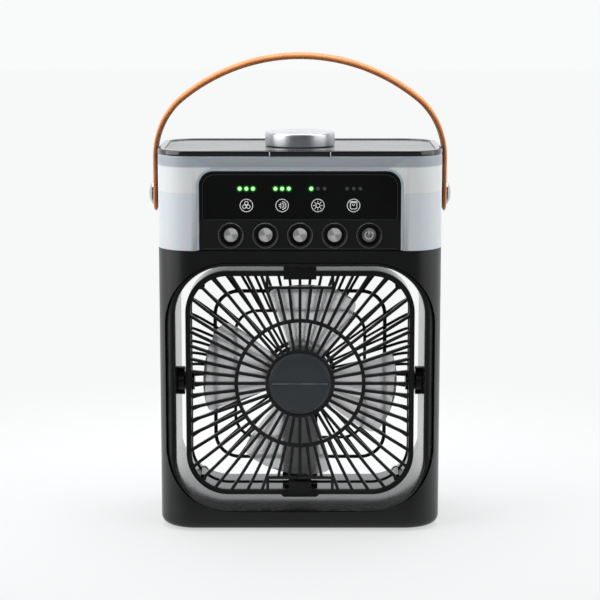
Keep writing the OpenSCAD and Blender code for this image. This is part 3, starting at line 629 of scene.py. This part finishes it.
def make_knob_cap():
    """The turned knob: a small chamfer at the foot, a straight rim, a soft top edge, a flat top."""
    low, high = box_mm("knob_cap")
    radius, edge = high.x, 1.5
    wall, foot = 1.0, 0.35
    profile = [(0.0, high.z - 1.4), (radius - wall, high.z - 1.4), (radius - wall, low.z),
               (radius - foot, low.z), (radius - 0.08, low.z + 0.12), (radius, low.z + foot)]
    profile += arc((radius - edge, high.z - edge), edge, 0, 90, 8)
    profile += [(radius - edge - 2.0, high.z - 0.02), (6.0, high.z - 0.05), (0.0, high.z - 0.05)]
    bm = bmesh.new()
    turned(bm, profile, (0, 0, 0), "z", 160)
    finished(bm, "knob_cap_body", "knob_metal", "knob", ("knob_cap",), sharp=40)


def make_hub_badge():
    """The grille's centre: a shallow dome with a turned edge and a ridge across it, with a painted
    highlight on the ridge's front.
    """
    low, high = box_mm("hub_badge")
    radius = high.x
    face = low.y + 0.4
    profile = [(0.0, high.y), (radius, high.y), (radius, face + 1.6), (radius - 0.25, face + 0.9),
               (radius - 0.8, face + 0.5), (radius - 1.7, face + 0.42), (radius - 2.0, face + 0.62),
               (radius - 2.4, face + 0.42), (radius * 0.6, face + 0.16), (radius * 0.3, face + 0.04),
               (0.0, face)]
    bm = bmesh.new()
    turned(bm, profile, (0, 0, AXIS_Z), "y", 128)
    half_height, length = 0.62, radius - 2.2
    wear_and_highlight = bm.verts.layers.float.new("wear_and_highlight")
    rings = []
    for depth, inset in ((face + 0.6, 0.0), (face, 0.05), (low.y + 0.12, 0.18), (low.y, 0.38)):
        outline = rounded_outline(2 * (length - inset), 2 * (half_height - inset), 0.12, 3, (0, AXIS_Z))
        rings.append([(x, depth, z) for x, z in outline])
    # The ridge's front rows are marked for lightening: a painted highlight along the ridge.
    mark(skin(bm, rings, caps=True)[2:], wear_and_highlight, 1.0)
    finished(bm, "hub_badge_body", "hub_badge", "fan_head", ("hub_badge",), sharp=40)


def smooth(value, low, high):
    """Eases from 0 at low to 1 at high."""
    share = min(1.0, max(0.0, (value - low) / (high - low)))
    return share * share * (3 - 2 * share)


def strap_stations():
    """The strap's middle line from one rivet's end to the other: place, outward normal, half width."""
    crown_z, crown_r, shoulder_r, strap_x, half = 284.6, 112.0, 45.0, 87.3, 11.0
    rivet_z, thick = 202.5, 3.0
    shoulder_x = strap_x - shoulder_r
    turn_at_join = math.asin(shoulder_x / (crown_r - shoulder_r))
    shoulder_z = crown_z - crown_r + (crown_r - shoulder_r) * math.cos(turn_at_join)
    side = []
    end_steps, straight, turn_steps = 12, 10, 24
    for i in range(end_steps + 1):
        below = half * math.cos(math.radians(90 * i / end_steps))
        width = math.sqrt(max(half * half - below * below, 0.5))
        side.append(((strap_x + thick / 2, rivet_z - below), (1.0, 0.0), width))
    for i in range(1, straight):
        up = rivet_z + (shoulder_z - rivet_z) * i / straight
        side.append(((strap_x + thick / 2, up), (1.0, 0.0), half))
    for i in range(turn_steps + 1):
        turn = math.radians(90) + (turn_at_join - math.radians(90)) * i / turn_steps
        normal = (math.sin(turn), math.cos(turn))
        reach = shoulder_r + thick / 2
        side.append(((shoulder_x + reach * normal[0], shoulder_z + reach * normal[1]), normal, half))
    for i in range(1, turn_steps + 1):
        turn = turn_at_join * (1 - i / turn_steps)
        normal = (math.sin(turn), math.cos(turn))
        reach = crown_r + thick / 2
        side.append(((reach * normal[0], crown_z - crown_r + reach * normal[1]), normal, half))
    side = [(place, normal, width * (1 - 0.1 * slimness(place[1]))) for place, normal, width in side]
    mirrored = [((-p[0], p[1]), (-n[0], n[1]), w) for p, n, w in side]
    return mirrored + list(reversed(side))[1:]


def slimness(z):
    """1 down at the rivets, where the strap is pressed thin, and 0 over the top, where it is plump."""
    return 1 - smooth(z, 222.0, 262.0)


# Half of the strap's cross-section: distance in from the edge, height, share of the darker colour (the
# lower layer's own, and painted shade up the upper layer's sides)
STRAP_EDGE = [(1.3, -1.5, 1.0), (0.5, -1.45, 1.0), (0.2, -1.15, 1.0), (0.2, -0.5, 1.0), (0.42, -0.36, 1.0),
              (0.1, -0.2, 0.5), (0.0, 0.1, 0.42), (0.12, 0.62, 0.38), (0.45, 1.05, 0.22), (0.95, 1.34, 0.0),
              (1.7, 1.48, 0.0), (3.2, 1.5, 0.0), (5.4, 1.5, 0.0), (8.0, 1.5, 0.0), (10.6, 1.5, 0.0)]


def strap_ring(place, normal, width):
    """One cross-section of the strap, with each point's share of the darker colour: the lower layer's own,
    and painted shade up the upper layer's sides.
    """
    (x, z), (nx, nz) = place, normal
    slim = slimness(z)
    low, top, crown = -1.5 + 0.3 * slim, 1.5 - 0.45 * slim, 0.85 * (1 - slim)
    rounded_end = 0.35 + 0.65 * smooth(z, 191.5, 193.6)
    half = []
    for inward, height, share in STRAP_EDGE:
        y = width - min(inward * min(1.0, width / 11), width * 0.97)
        h = (low + (height + 1.5) * (top - low) / 3) * rounded_end
        h += crown * (1 - (y / width) ** 2) if height > 1.3 else 0.0
        half.append((y, h, share))
    whole = [(-y, h, share) for y, h, share in half] + list(reversed(half))
    return [(x + nx * h, y, z + nz * h) for y, h, _ in whole], [share for _, _, share in whole]


def make_strap():
    """The leather strap: a plump upper layer, a groove, and a darker lower layer with its edge cord;
    painted shade grades up the upper layer's sides.
    """
    bm = bmesh.new()
    hem_and_side_shade = bm.verts.layers.float.new("hem_and_side_shade")
    made = [strap_ring(*station) for station in strap_stations()]
    for row in skin(bm, [ring for ring, _ in made], caps=True):
        for vert, share in zip(row, made[0][1]):
            vert[hem_and_side_shade] = share
    finished(bm, "strap_body", "leather", "strap", ("strap",), sharp=60)
    make_hem_cords()


def spaced(line, step):
    """Points every step along a line of (x, z, nx, nz), each with its distance from the start."""
    made, walked, due = [], 0.0, 0.0
    for before, after in zip(line, line[1:]):
        length = math.hypot(after[0] - before[0], after[1] - before[1])
        while due <= walked + length:
            share = (due - walked) / length
            made.append((due, [a + (b - a) * share for a, b in zip(before, after)]))
            due += step
        walked += length
    return made


def make_hem_cords():
    """A twisted cord sewn along each lower edge of the strap."""
    bm = bmesh.new()
    hem_and_side_shade = bm.verts.layers.float.new("hem_and_side_shade")
    thick, twist, pitch, sides, step, foot = 0.5, 0.11, 1.15, 10, 0.28, 203.0
    line = []
    for (x, z), (nx, nz), width in strap_stations():
        if z > foot:
            height = -0.9 + 0.35 * slimness(z)
            line.append((x + nx * height, z + nz * height, nx, nz, width - 0.45))
    for side in (-1, 1):
        rings = []
        for distance, (x, z, nx, nz, out) in spaced(line, step):
            ring = []
            for k in range(sides):
                turn = 2 * math.pi * k / sides
                r = thick + twist * math.cos(2 * turn + 2 * math.pi * distance / pitch)
                up = r * math.cos(turn)
                ring.append((x + nx * up, side * (out + r * math.sin(turn)), z + nz * up))
            rings.append(ring)
        mark(skin(bm, rings, caps=True), hem_and_side_shade, 0.85)
    finished(bm, "strap_hem_cords", "leather", "strap", sharp=80)


def make_blades():
    """Four cambered blades with rounded tips on a cupped hub."""
    hub_r, tip_r = 17.0, 60.0
    front, back = -20.5, -8.0
    middle_y, pitch, start = -14.0, math.radians(11), -12.0
    reach_steps, chord_steps = 24, 19
    bm = bmesh.new()
    hub = [(4.0, front + 3.6), (4.0, front + 1.6), (hub_r - 1.6, front + 1.6), (hub_r - 1.5, back),
           (hub_r, back)]
    hub += arc((hub_r - 2, front + 2), 2.0, 0, -90, 6) + [(8.0, front), (0.0, front)]
    turned(bm, hub, (0, 0, AXIS_Z), "y", 96)
    for blade in range(BLADE_COUNT):
        base = math.radians(start + 360 / BLADE_COUNT * blade)
        rings = []
        for i in range(reach_steps + 1):
            share = i / reach_steps
            radius = hub_r - 1 + (tip_r - 0.2 - hub_r + 1) * math.sin(math.radians(90) * share) ** 0.9
            spread = math.radians(30 - 2 * share) * (1 - 0.42 * share ** 12)
            sweep = math.radians(5) * share ** 2
            ring = []
            for face in (1, -1):
                for k in range(chord_steps + 1):
                    chord = face * (1 - 2 * k / chord_steps)
                    angle = base + sweep + spread * chord
                    ring.append(blade_point(radius, angle, chord, pitch, middle_y, face))
            rings.append(ring)
        skin(bm, rings, caps=True)
    finished(bm, "impeller_body", "blades", "impeller", ("impeller",), sharp=50)


def blade_point(radius, angle, chord, pitch, middle_y, face):
    """A point on the front (face 1) or back (-1) of a blade, at an angle round the shaft."""
    along = radius * math.sin(math.radians(31)) * chord
    camber = BLADE_CAMBER * (1 - chord * chord)
    thick = BLADE_THICK * math.sqrt(max(1 - chord * chord, 0.02))
    y = middle_y - math.tan(pitch) * along * 0.92 - camber + 0.6 - face * thick
    return (radius * math.cos(angle), y, AXIS_Z + radius * math.sin(angle))


def make_rear_guard():
    """The guard behind the head: a flat rim, two square rings, a hub ring, and bars that bend in."""
    low = box_mm("rear_guard")[0]
    front, back, plane = low.y, low.y + 2.3, 2.0
    half, corner, inset, bar_inset = -low.x, 26.0, 3.0, 1.2
    bm = bmesh.new()
    rim = [(0.3, front), (0.0, front + 0.3), (0.0, back - 0.3), (0.3, back), (inset - 0.3, back),
           (inset, back - 0.3), (inset, front + 0.3), (inset - 0.3, front), (0.3, front)]
    skin(bm, [square_ring(half, corner, inward, y) for inward, y in rim])
    for sx in (-1, 1):
        for sz in (-1, 1):
            lug = [(0.0, back), (2.4, back), (2.7, back - 0.3), (2.7, front), (0.0, front)]
            turned(bm, lug, (sx * (half - HEAD_LUG), 0, AXIS_Z + sz * (half - HEAD_LUG)), "y", 24)
    for (reach, bend), thick in ((OUTER_RING, 1.2), (INNER_RING, 1.0)):
        tube(bm, square_ring(reach, bend, 0.0, plane), thick, cyclic=True)
    circle = [(x, plane, z) for x, z in ring_points(0, AXIS_Z, GUARD_HUB_R, steps=72)]
    tube(bm, circle, 1.3, cyclic=True)
    for i in range(GUARD_BARS):
        rear_bars(bm, i, (half - bar_inset, corner - bar_inset), front + 0.6, plane)
    finished(bm, "rear_guard_body", "grille", "fan_head", ("rear_guard",), sharp=50)


def square_ring(half, corner, inset, y):
    """A rounded square round the head's axis, drawn in by inset, at one depth."""
    outline = rounded_outline(2 * (half - inset), 2 * (half - inset), corner - inset, 12, (0, AXIS_Z))
    return [(x, y, z) for x, z in outline]


def rear_bars(bm, index, frame_ring, start, plane):
    """One direction's bars: the bent one from the frame, and straight ones between the rings."""
    elbow, thick, thin = 9, 0.95, 0.82
    degrees = 360 / GUARD_BARS * index
    angle = math.radians(degrees)
    far = square_reach(*frame_ring, angle)
    near, inner = square_reach(*OUTER_RING, angle), square_reach(*INNER_RING, angle)
    if abs(degrees - 270) > OPEN_BELOW:
        turns = [math.radians(10 * t) for t in range(10)]
        bend = [(far - elbow + elbow * math.cos(t), start + (plane - start) * math.sin(t)) for t in turns]
        tube(bm, radial_line(bend + [(near, plane)], angle), thick)
    tube(bm, radial_line([(inner, plane), (near, plane)], angle), thin)
    if index % 2 == 0:
        tube(bm, radial_line([(GUARD_HUB_R, plane), (inner, plane)], angle), thin)


def radial_line(points, angle):
    """Points given as (distance from the axis, y), carried round to an angle."""
    return [(r * math.cos(angle), y, AXIS_Z + r * math.sin(angle)) for r, y in points]


def square_reach(half, radius, angle):
    """Distance from the axis to a rounded square's outline."""
    c, s, k = abs(math.cos(angle)), abs(math.sin(angle)), half - radius
    if half * s <= k * c:
        return half / c
    if half * c <= k * s:
        return half / s
    return k * (c + s) + math.sqrt(k * k * (c + s) ** 2 - 2 * k * k + radius * radius)


def ribbon(bm, points, width, depth, thick=0.05, cyclic=False):
    """A flat line through points (x, z), raised by thick from the face at depth, its sides sloped."""
    count, crest = len(points), 0.9
    rings = []
    for i, (x, z) in enumerate(points):
        ahead = points[(i + 1) % count] if cyclic or i + 1 < count else points[i]
        behind = points[i - 1] if cyclic or i > 0 else points[i]
        along = Vector((ahead[0] - behind[0], ahead[1] - behind[1])).normalized()
        side = Vector((-along.y, along.x)) * width / 2
        rings.append([(x + share * side.x, depth - rise, z + share * side.y)
                      for share, rise in ((1, 0), (crest, thick), (-crest, thick), (-1, 0))])
    if cyclic:
        rings.append(rings[0])
    skin(bm, rings, caps=not cyclic)


def ring_points(x, z, radius, start=0, stop=360, steps=40):
    """Points round a circle in the front view; a full turn leaves out its last point."""
    points = arc((x, z), radius, start, stop, steps)
    return points[:-1] if stop - start == 360 else points


def icon_fan(bm, x, z, face):
    for cx, cz in ring_points(x, z, 1.4, 90, 450, 3):
        ribbon(bm, ring_points(cx, cz, 1.05, steps=20), 0.4, face, cyclic=True)


def icon_mist(bm, x, z, face):
    ribbon(bm, ring_points(x, z, 2.3, -90, 90, 20), 0.5, face)
    ribbon(bm, ring_points(x - 0.1, z, 1.15, -90, 90, 12), 0.45, face)
    for row, reach in ((-1.35, 0.8), (-0.45, 1.5), (0.45, 1.5), (1.35, 0.8)):
        ribbon(bm, [(x - 0.5, z + row), (x - 0.5 - reach, z + row)], 0.45, face)


def icon_light(bm, x, z, face):
    ribbon(bm, ring_points(x, z, 1.25, steps=24), 0.42, face, cyclic=True)
    for ray in zip(ring_points(x, z, 1.8, steps=8), ring_points(x, z, 2.8, steps=8)):
        ribbon(bm, ray, 0.4, face)


def icon_timer(bm, x, z, face):
    ribbon(bm, rounded_outline(3.9, 3.7, 0.9, 4, (x, z - 0.2)), 0.42, face, cyclic=True)
    ribbon(bm, [(x - 2.4, z + 2.0), (x - 1.3, z + 2.3), (x + 1.3, z + 2.3), (x + 2.4, z + 2.0)], 0.55, face)
    ribbon(bm, [(x - 0.8, z + 0.7), (x, z - 0.2), (x + 0.8, z + 0.7)], 0.45, face)


def make_icons():
    """Printed marks over the four function lights: fan, mist, light and timer."""
    face = box_mm("display_window")[0].y
    bm = bmesh.new()
    for i, icon in enumerate((icon_fan, icon_mist, icon_light, icon_timer)):
        x = (i - 1.5) * ICON_PITCH
        ribbon(bm, ring_points(x, ICON_Z, 3.75, steps=48), 0.4, face, cyclic=True)
        icon(bm, x, ICON_Z, face)
    pale_print_and_highlight(finished(bm, "panel_icons", "panel_rim", "housing", sharp=30))


def pale_print_and_highlight(piece):
    """Gives a mark the pale ink of the icons and the power mark, which the lid tab's painted highlights
    share too.
    """
    piece.data.materials[0] = MATERIALS["print_and_highlight"]


def make_panel_edge_highlights():
    """Thin raised lines round the display and along the panel's foot, painted lighter than the panel:
    painted highlights on those edges.
    """
    low, high = box_mm("display_window")
    foot = box_mm("panel_body")[0]
    bm = bmesh.new()
    inset, width, thick = 1.3, 0.26, 0.04
    left, right, bottom, top = low.x + inset, high.x - inset, low.z + 0.1, high.z - inset
    outline = rounded_outline(2 * right, top - bottom, 7.2, 8, (0, (bottom + top) / 2), low_r=0.9)
    ribbon(bm, outline, width, low.y, thick, cyclic=True)
    ribbon(bm, [(left, foot.z + 1.0), (right, foot.z + 1.0)], width, foot.y, thick)
    piece = finished(bm, "panel_edge_highlights", "panel_satin", "housing", sharp=30)
    # The lines take a lighter grey: painted highlights on the display's edge and the panel's foot.
    piece.data.materials[0] = MATERIALS["edge_highlight"]


def make_lid_tab_highlights():
    """Two pale lines at the ends of the lid's front tab: painted highlights on its end edges."""
    low, high = box_mm("lid_tab")
    bm = bmesh.new()
    for side in (-1, 1):
        x = side * (high.x + 0.12)
        ribbon(bm, [(x, low.z + 0.5), (x, high.z - 0.5)], 0.42, low.y, 0.03)
    # Each line is a painted highlight on one end edge of the tab.
    pale_print_and_highlight(finished(bm, "lid_tab_highlights", "lid_gloss", "housing", sharp=30))


def make_button_rings():
    """The bright chamfered ring and the stepped funnel round each button."""
    low = box_mm("button_rings")[0]
    face = low.y
    bm = bmesh.new()
    for name in BUTTON_NAMES:
        box_low, box_high = box_mm(name)
        centre = ((box_low.x + box_high.x) / 2, 0, (box_low.z + box_high.z) / 2)
        profile = [(7.68, face + 0.6), (7.7, face + 0.12), (7.62, face + 0.02), (7.46, face),
                   (7.3, face + 0.2), (7.22, face + 0.8), (6.7, face + 1.15), (6.5, face + 1.05),
                   (6.35, face + 1.15), (6.25, face + 1.9), (6.9, face + 1.9), (7.0, face + 1.4)]
        turned(bm, profile, centre, "y", 72, closed=True)
    piece = finished(bm, "button_rings_body", "ring_metal", "housing", ("button_rings",), sharp=40)
    piece.data.materials.append(MATERIALS["panel_satin"])
    for polygon in piece.data.polygons:
        polygon.material_index = 1 if polygon.center.y / MM > face + 0.3 else 0


def make_buttons():
    """Spun discs with a raised rim, and the power mark on the fifth one."""
    for name in BUTTON_NAMES:
        low, high = box_mm(name)
        x, z = (low.x + high.x) / 2, (low.z + high.z) / 2
        face, disc = low.y, 4.3
        bm = bmesh.new()
        profile = [(0.0, face + 0.32), (disc - 0.75, face + 0.3), (disc - 0.6, face + 0.06),
                   (disc - 0.45, face), (disc - 0.2, face + 0.04), (disc, face + 0.3), (disc, face + 2.0),
                   (disc + 0.8, face + 2.0), (disc + 0.8, face + 2.8), (1.4, face + 2.8), (1.4, high.y),
                   (0.0, high.y)]
        turned(bm, profile, (x, 0, z), "y", 72)
        piece = finished(bm, name + "_body", "button_metal", name, (name,), sharp=40)
        darken_skirt(piece, x, z, disc)
        if name == "power_button":
            piece.data.materials[0] = MATERIALS["power_disc"]
            make_power_mark(name, x, z, face + 0.3)


def darken_skirt(piece, x, z, disc):
    """Gives everything of a button outside its metal disc the panel's black."""
    piece.data.materials.append(MATERIALS["panel_satin"])
    for polygon in piece.data.polygons:
        place = polygon.center / MM
        if math.hypot(place.x - x, place.z - z) > disc - 0.02:
            polygon.material_index = 1


def make_power_mark(body, x, z, face):
    """The open ring and the stroke of the fifth button's mark."""
    width, thick = 0.75, 0.12
    bm = bmesh.new()
    ribbon(bm, ring_points(x, z - 0.1, 2.35, 122, 418, 40), width, face, thick)
    ribbon(bm, [(x, z + 2.6), (x, z + 0.1)], width, face, thick)
    pale_print_and_highlight(finished(bm, "power_mark", "button_metal", body, sharp=30))


def make_halos():
    """The display's own glow round each lit lens, fading out into the black."""
    face = box_mm("display_window")[0].y - 0.015
    bm = bmesh.new()
    glow = bm.verts.layers.float.new("glow")
    for group, lit in enumerate(LIT_IN_GROUP):
        for place in range(lit):
            x = (group - 1.5) * ICON_PITCH + (place - 1) * LED_PITCH
            steps = [(LED_R, 1.0), (1.3, 0.72), (1.6, 0.45), (2.0, 0.2), (2.6, 0.0)]
            rows = skin(bm, [[(px, face + 0.003 * k, pz) for px, pz in ring_points(x, LED_Z, radius)]
                             for k, (radius, _) in enumerate(steps)])
            for row, (_, value) in zip(rows, steps):
                mark([row], glow, value)
    finished(bm, "display_halos", "display", "housing", sharp=30)


def make_rivets():
    """Polished domes with a thin flange, on the strap's two ends."""
    low, high = box_mm("strap_rivets")
    middle = (low.z + high.z) / 2
    radius = (high.z - low.z) / 2
    bm = bmesh.new()
    for side in (-1, 1):
        tip, foot, shank_r, shank_end = high.x, high.x - 2.4, 3.0, 80.5
        profile = [(0.0, shank_end), (shank_r, shank_end), (shank_r, foot - 0.5), (radius, foot - 0.5),
                   (radius, foot + 0.4), (radius - 0.4, foot + 0.72), (radius - 1.4, foot + 1.25),
                   (radius * 0.58, tip - 0.42), (radius * 0.3, tip - 0.1), (0.0, tip)]
        turned(bm, [(r, side * x) for r, x in profile], (0, 0, middle), "x", 72)
    finished(bm, "strap_rivets_body", "rivet_chrome", "housing", ("strap_rivets",), sharp=40)


def paint_frame():
    """Every CAD node takes the material of its slot."""
    for node, thing in frame["nodes"].items():
        thing.data.materials.clear()
        thing.data.materials.append(MATERIALS[SLOT_OF[node]])


SOFT_EDGES = {
    "front_shell": 0.7, "rear_shell": 0.7, "wind_tunnel": 0.5, "base_plate": 0.35, "rubber_feet": 0.25,
    "water_tank": 0.45, "lid": 0.7, "lid_tab": 0.3, "lid_inlay": 0.25, "filler_plug": 0.3,
    "panel_body": 0.22, "panel_rim": 0.35, "display_window": 0.2,
    "front_grille": 0.35, "head_frame": 0.4, "grille_clips": 0.35, "motor_arm": 0.6,
    "motor_base": 0.6, "pivot_bosses": 0.5, "pivot_collars": 0.3, "strap_bosses": 0.3,
    "power_inlet": 0.12, "shell_screws": 0.12, "head_screws": 0.12, "base_screws": 0.12,
}


def make_soft_edges():
    for node, radius in SOFT_EDGES.items():
        softened(node, radius)


# ---------------------------------------------------------------- stage
def area_light(name, place, target, size, power, tall=None):
    data = bpy.data.lights.new(name, "AREA")
    data.shape = "RECTANGLE"
    data.size, data.size_y = size, tall or size
    data.energy = power
    lamp = placed(name, data)
    lamp.location = place
    lamp.rotation_euler = (Vector(target) - Vector(place)).to_track_quat("-Z", "Y").to_euler()


def make_world():
    """A white studio: bright behind, above and beside the object, darker behind the camera."""
    world = bpy.data.worlds.new("studio")
    bpy.context.scene.world = world
    world.use_nodes = True
    nodes, links = world.node_tree.nodes, world.node_tree.links
    nodes.clear()
    place = nodes.new("ShaderNodeTexCoord")
    split = nodes.new("ShaderNodeSeparateXYZ")
    links.new(place.outputs["Generated"], split.inputs[0])
    ramp = smooth_ramp(nodes, links, split.outputs["Y"], (-0.45, 0.3, 0.03, 1.0))
    studio = nodes.new("ShaderNodeBackground")
    studio.inputs["Color"].default_value = (0.97, 0.985, 1.0, 1.0)
    links.new(ramp, studio.inputs["Strength"])
    backdrop = nodes.new("ShaderNodeBackground")
    backdrop.inputs["Color"].default_value = (0.945, 0.955, 0.955, 1.0)
    path = nodes.new("ShaderNodeLightPath")
    mix = nodes.new("ShaderNodeMixShader")
    links.new(path.outputs["Is Camera Ray"], mix.inputs[0])
    links.new(studio.outputs[0], mix.inputs[1])
    links.new(backdrop.outputs[0], mix.inputs[2])
    output = nodes.new("ShaderNodeOutputWorld")
    links.new(mix.outputs[0], output.inputs["Surface"])


def make_floor():
    size, thick = 6.0, 0.01
    bm = bmesh.new()
    corners = rounded_outline(2 * size, 2 * size, 2.0, 8)
    skin(bm, [[(x, y, z) for x, y in corners] for z in (-thick, 0.0)], caps=True)
    floor = stored(bm, "floor", floor_material())


def floor_material():
    """White sweep: it takes the object's shadow close by, and far off it is as bright as the backdrop."""
    finish = Finish("pale_floor", (0.25, 0.25, 0.253), 0.6, Specular_IOR_Level=0.0,
                    Emission_Color=(0.99, 1.0, 1.0, 1.0))
    x, y = finish.split(finish.place)[:2]
    far = finish.span(finish.reach(x, y), 0.14, 0.46)
    near = finish.math("SUBTRACT", 1.0, far)
    # Seen in reflections, the floor in front is darkened: painted shade in what the object reflects.
    path = finish.node("LightPath").outputs["Is Glossy Ray"]
    dim = finish.math("MULTIPLY", path, finish.span(y, 0.0, -0.15, 0.0, 0.82))
    seen = finish.math("SUBTRACT", 1.0, dim)
    paint = finish.blend(finish.math("MULTIPLY", near, seen), (0.0, 0.0, 0.0), (0.25, 0.25, 0.253))
    finish.link(paint, "Base Color")
    # The floor's glow is dimmer towards the front: a painted shadow in front of the object.
    sweep = finish.span(y, -0.45, 0.25, 0.80, 0.94)
    own = finish.math("MULTIPLY", sweep, finish.math("ADD", 0.63, finish.math("MULTIPLY", far, 0.37)))
    finish.link(finish.math("MULTIPLY", own, seen), "Emission Strength")
    finish.relief(finish.noise(40.0, 2.0), 0.01)
    return finish.material


def make_camera():
    data = bpy.data.cameras.new("camera")
    data.sensor_width, data.lens = 36.0, 114.3
    camera = placed("camera", data)
    camera.location = (0.0, -1.1705, 0.3313)
    camera.rotation_euler = (math.radians(80.49), 0.0, 0.0)
    bpy.context.scene.camera = camera


def make_lights():
    centre = (0.0, 0.0, 0.12)
    area_light("left_box", (-0.95, -0.3, 0.5), centre, 1.0, 13.0, 1.6)
    area_light("right_box", (0.95, -0.3, 0.5), centre, 1.0, 8.0, 1.6)
    area_light("top_box", (0.0, 0.15, 1.1), centre, 1.2, 12.0)
    area_light("front_fill", (0.0, -1.6, 0.9), centre, 0.8, 0.5)


paint_frame()
make_soft_edges()
make_bezel()
make_knob_cap()
make_hub_badge()
make_strap()
make_blades()
make_rear_guard()
make_icons()
make_panel_edge_highlights()
make_lid_tab_highlights()
make_button_rings()
make_buttons()
make_halos()
make_rivets()
make_world()
make_floor()
make_lights()
make_camera()
bpy.context.scene.view_settings.view_transform = "Standard"
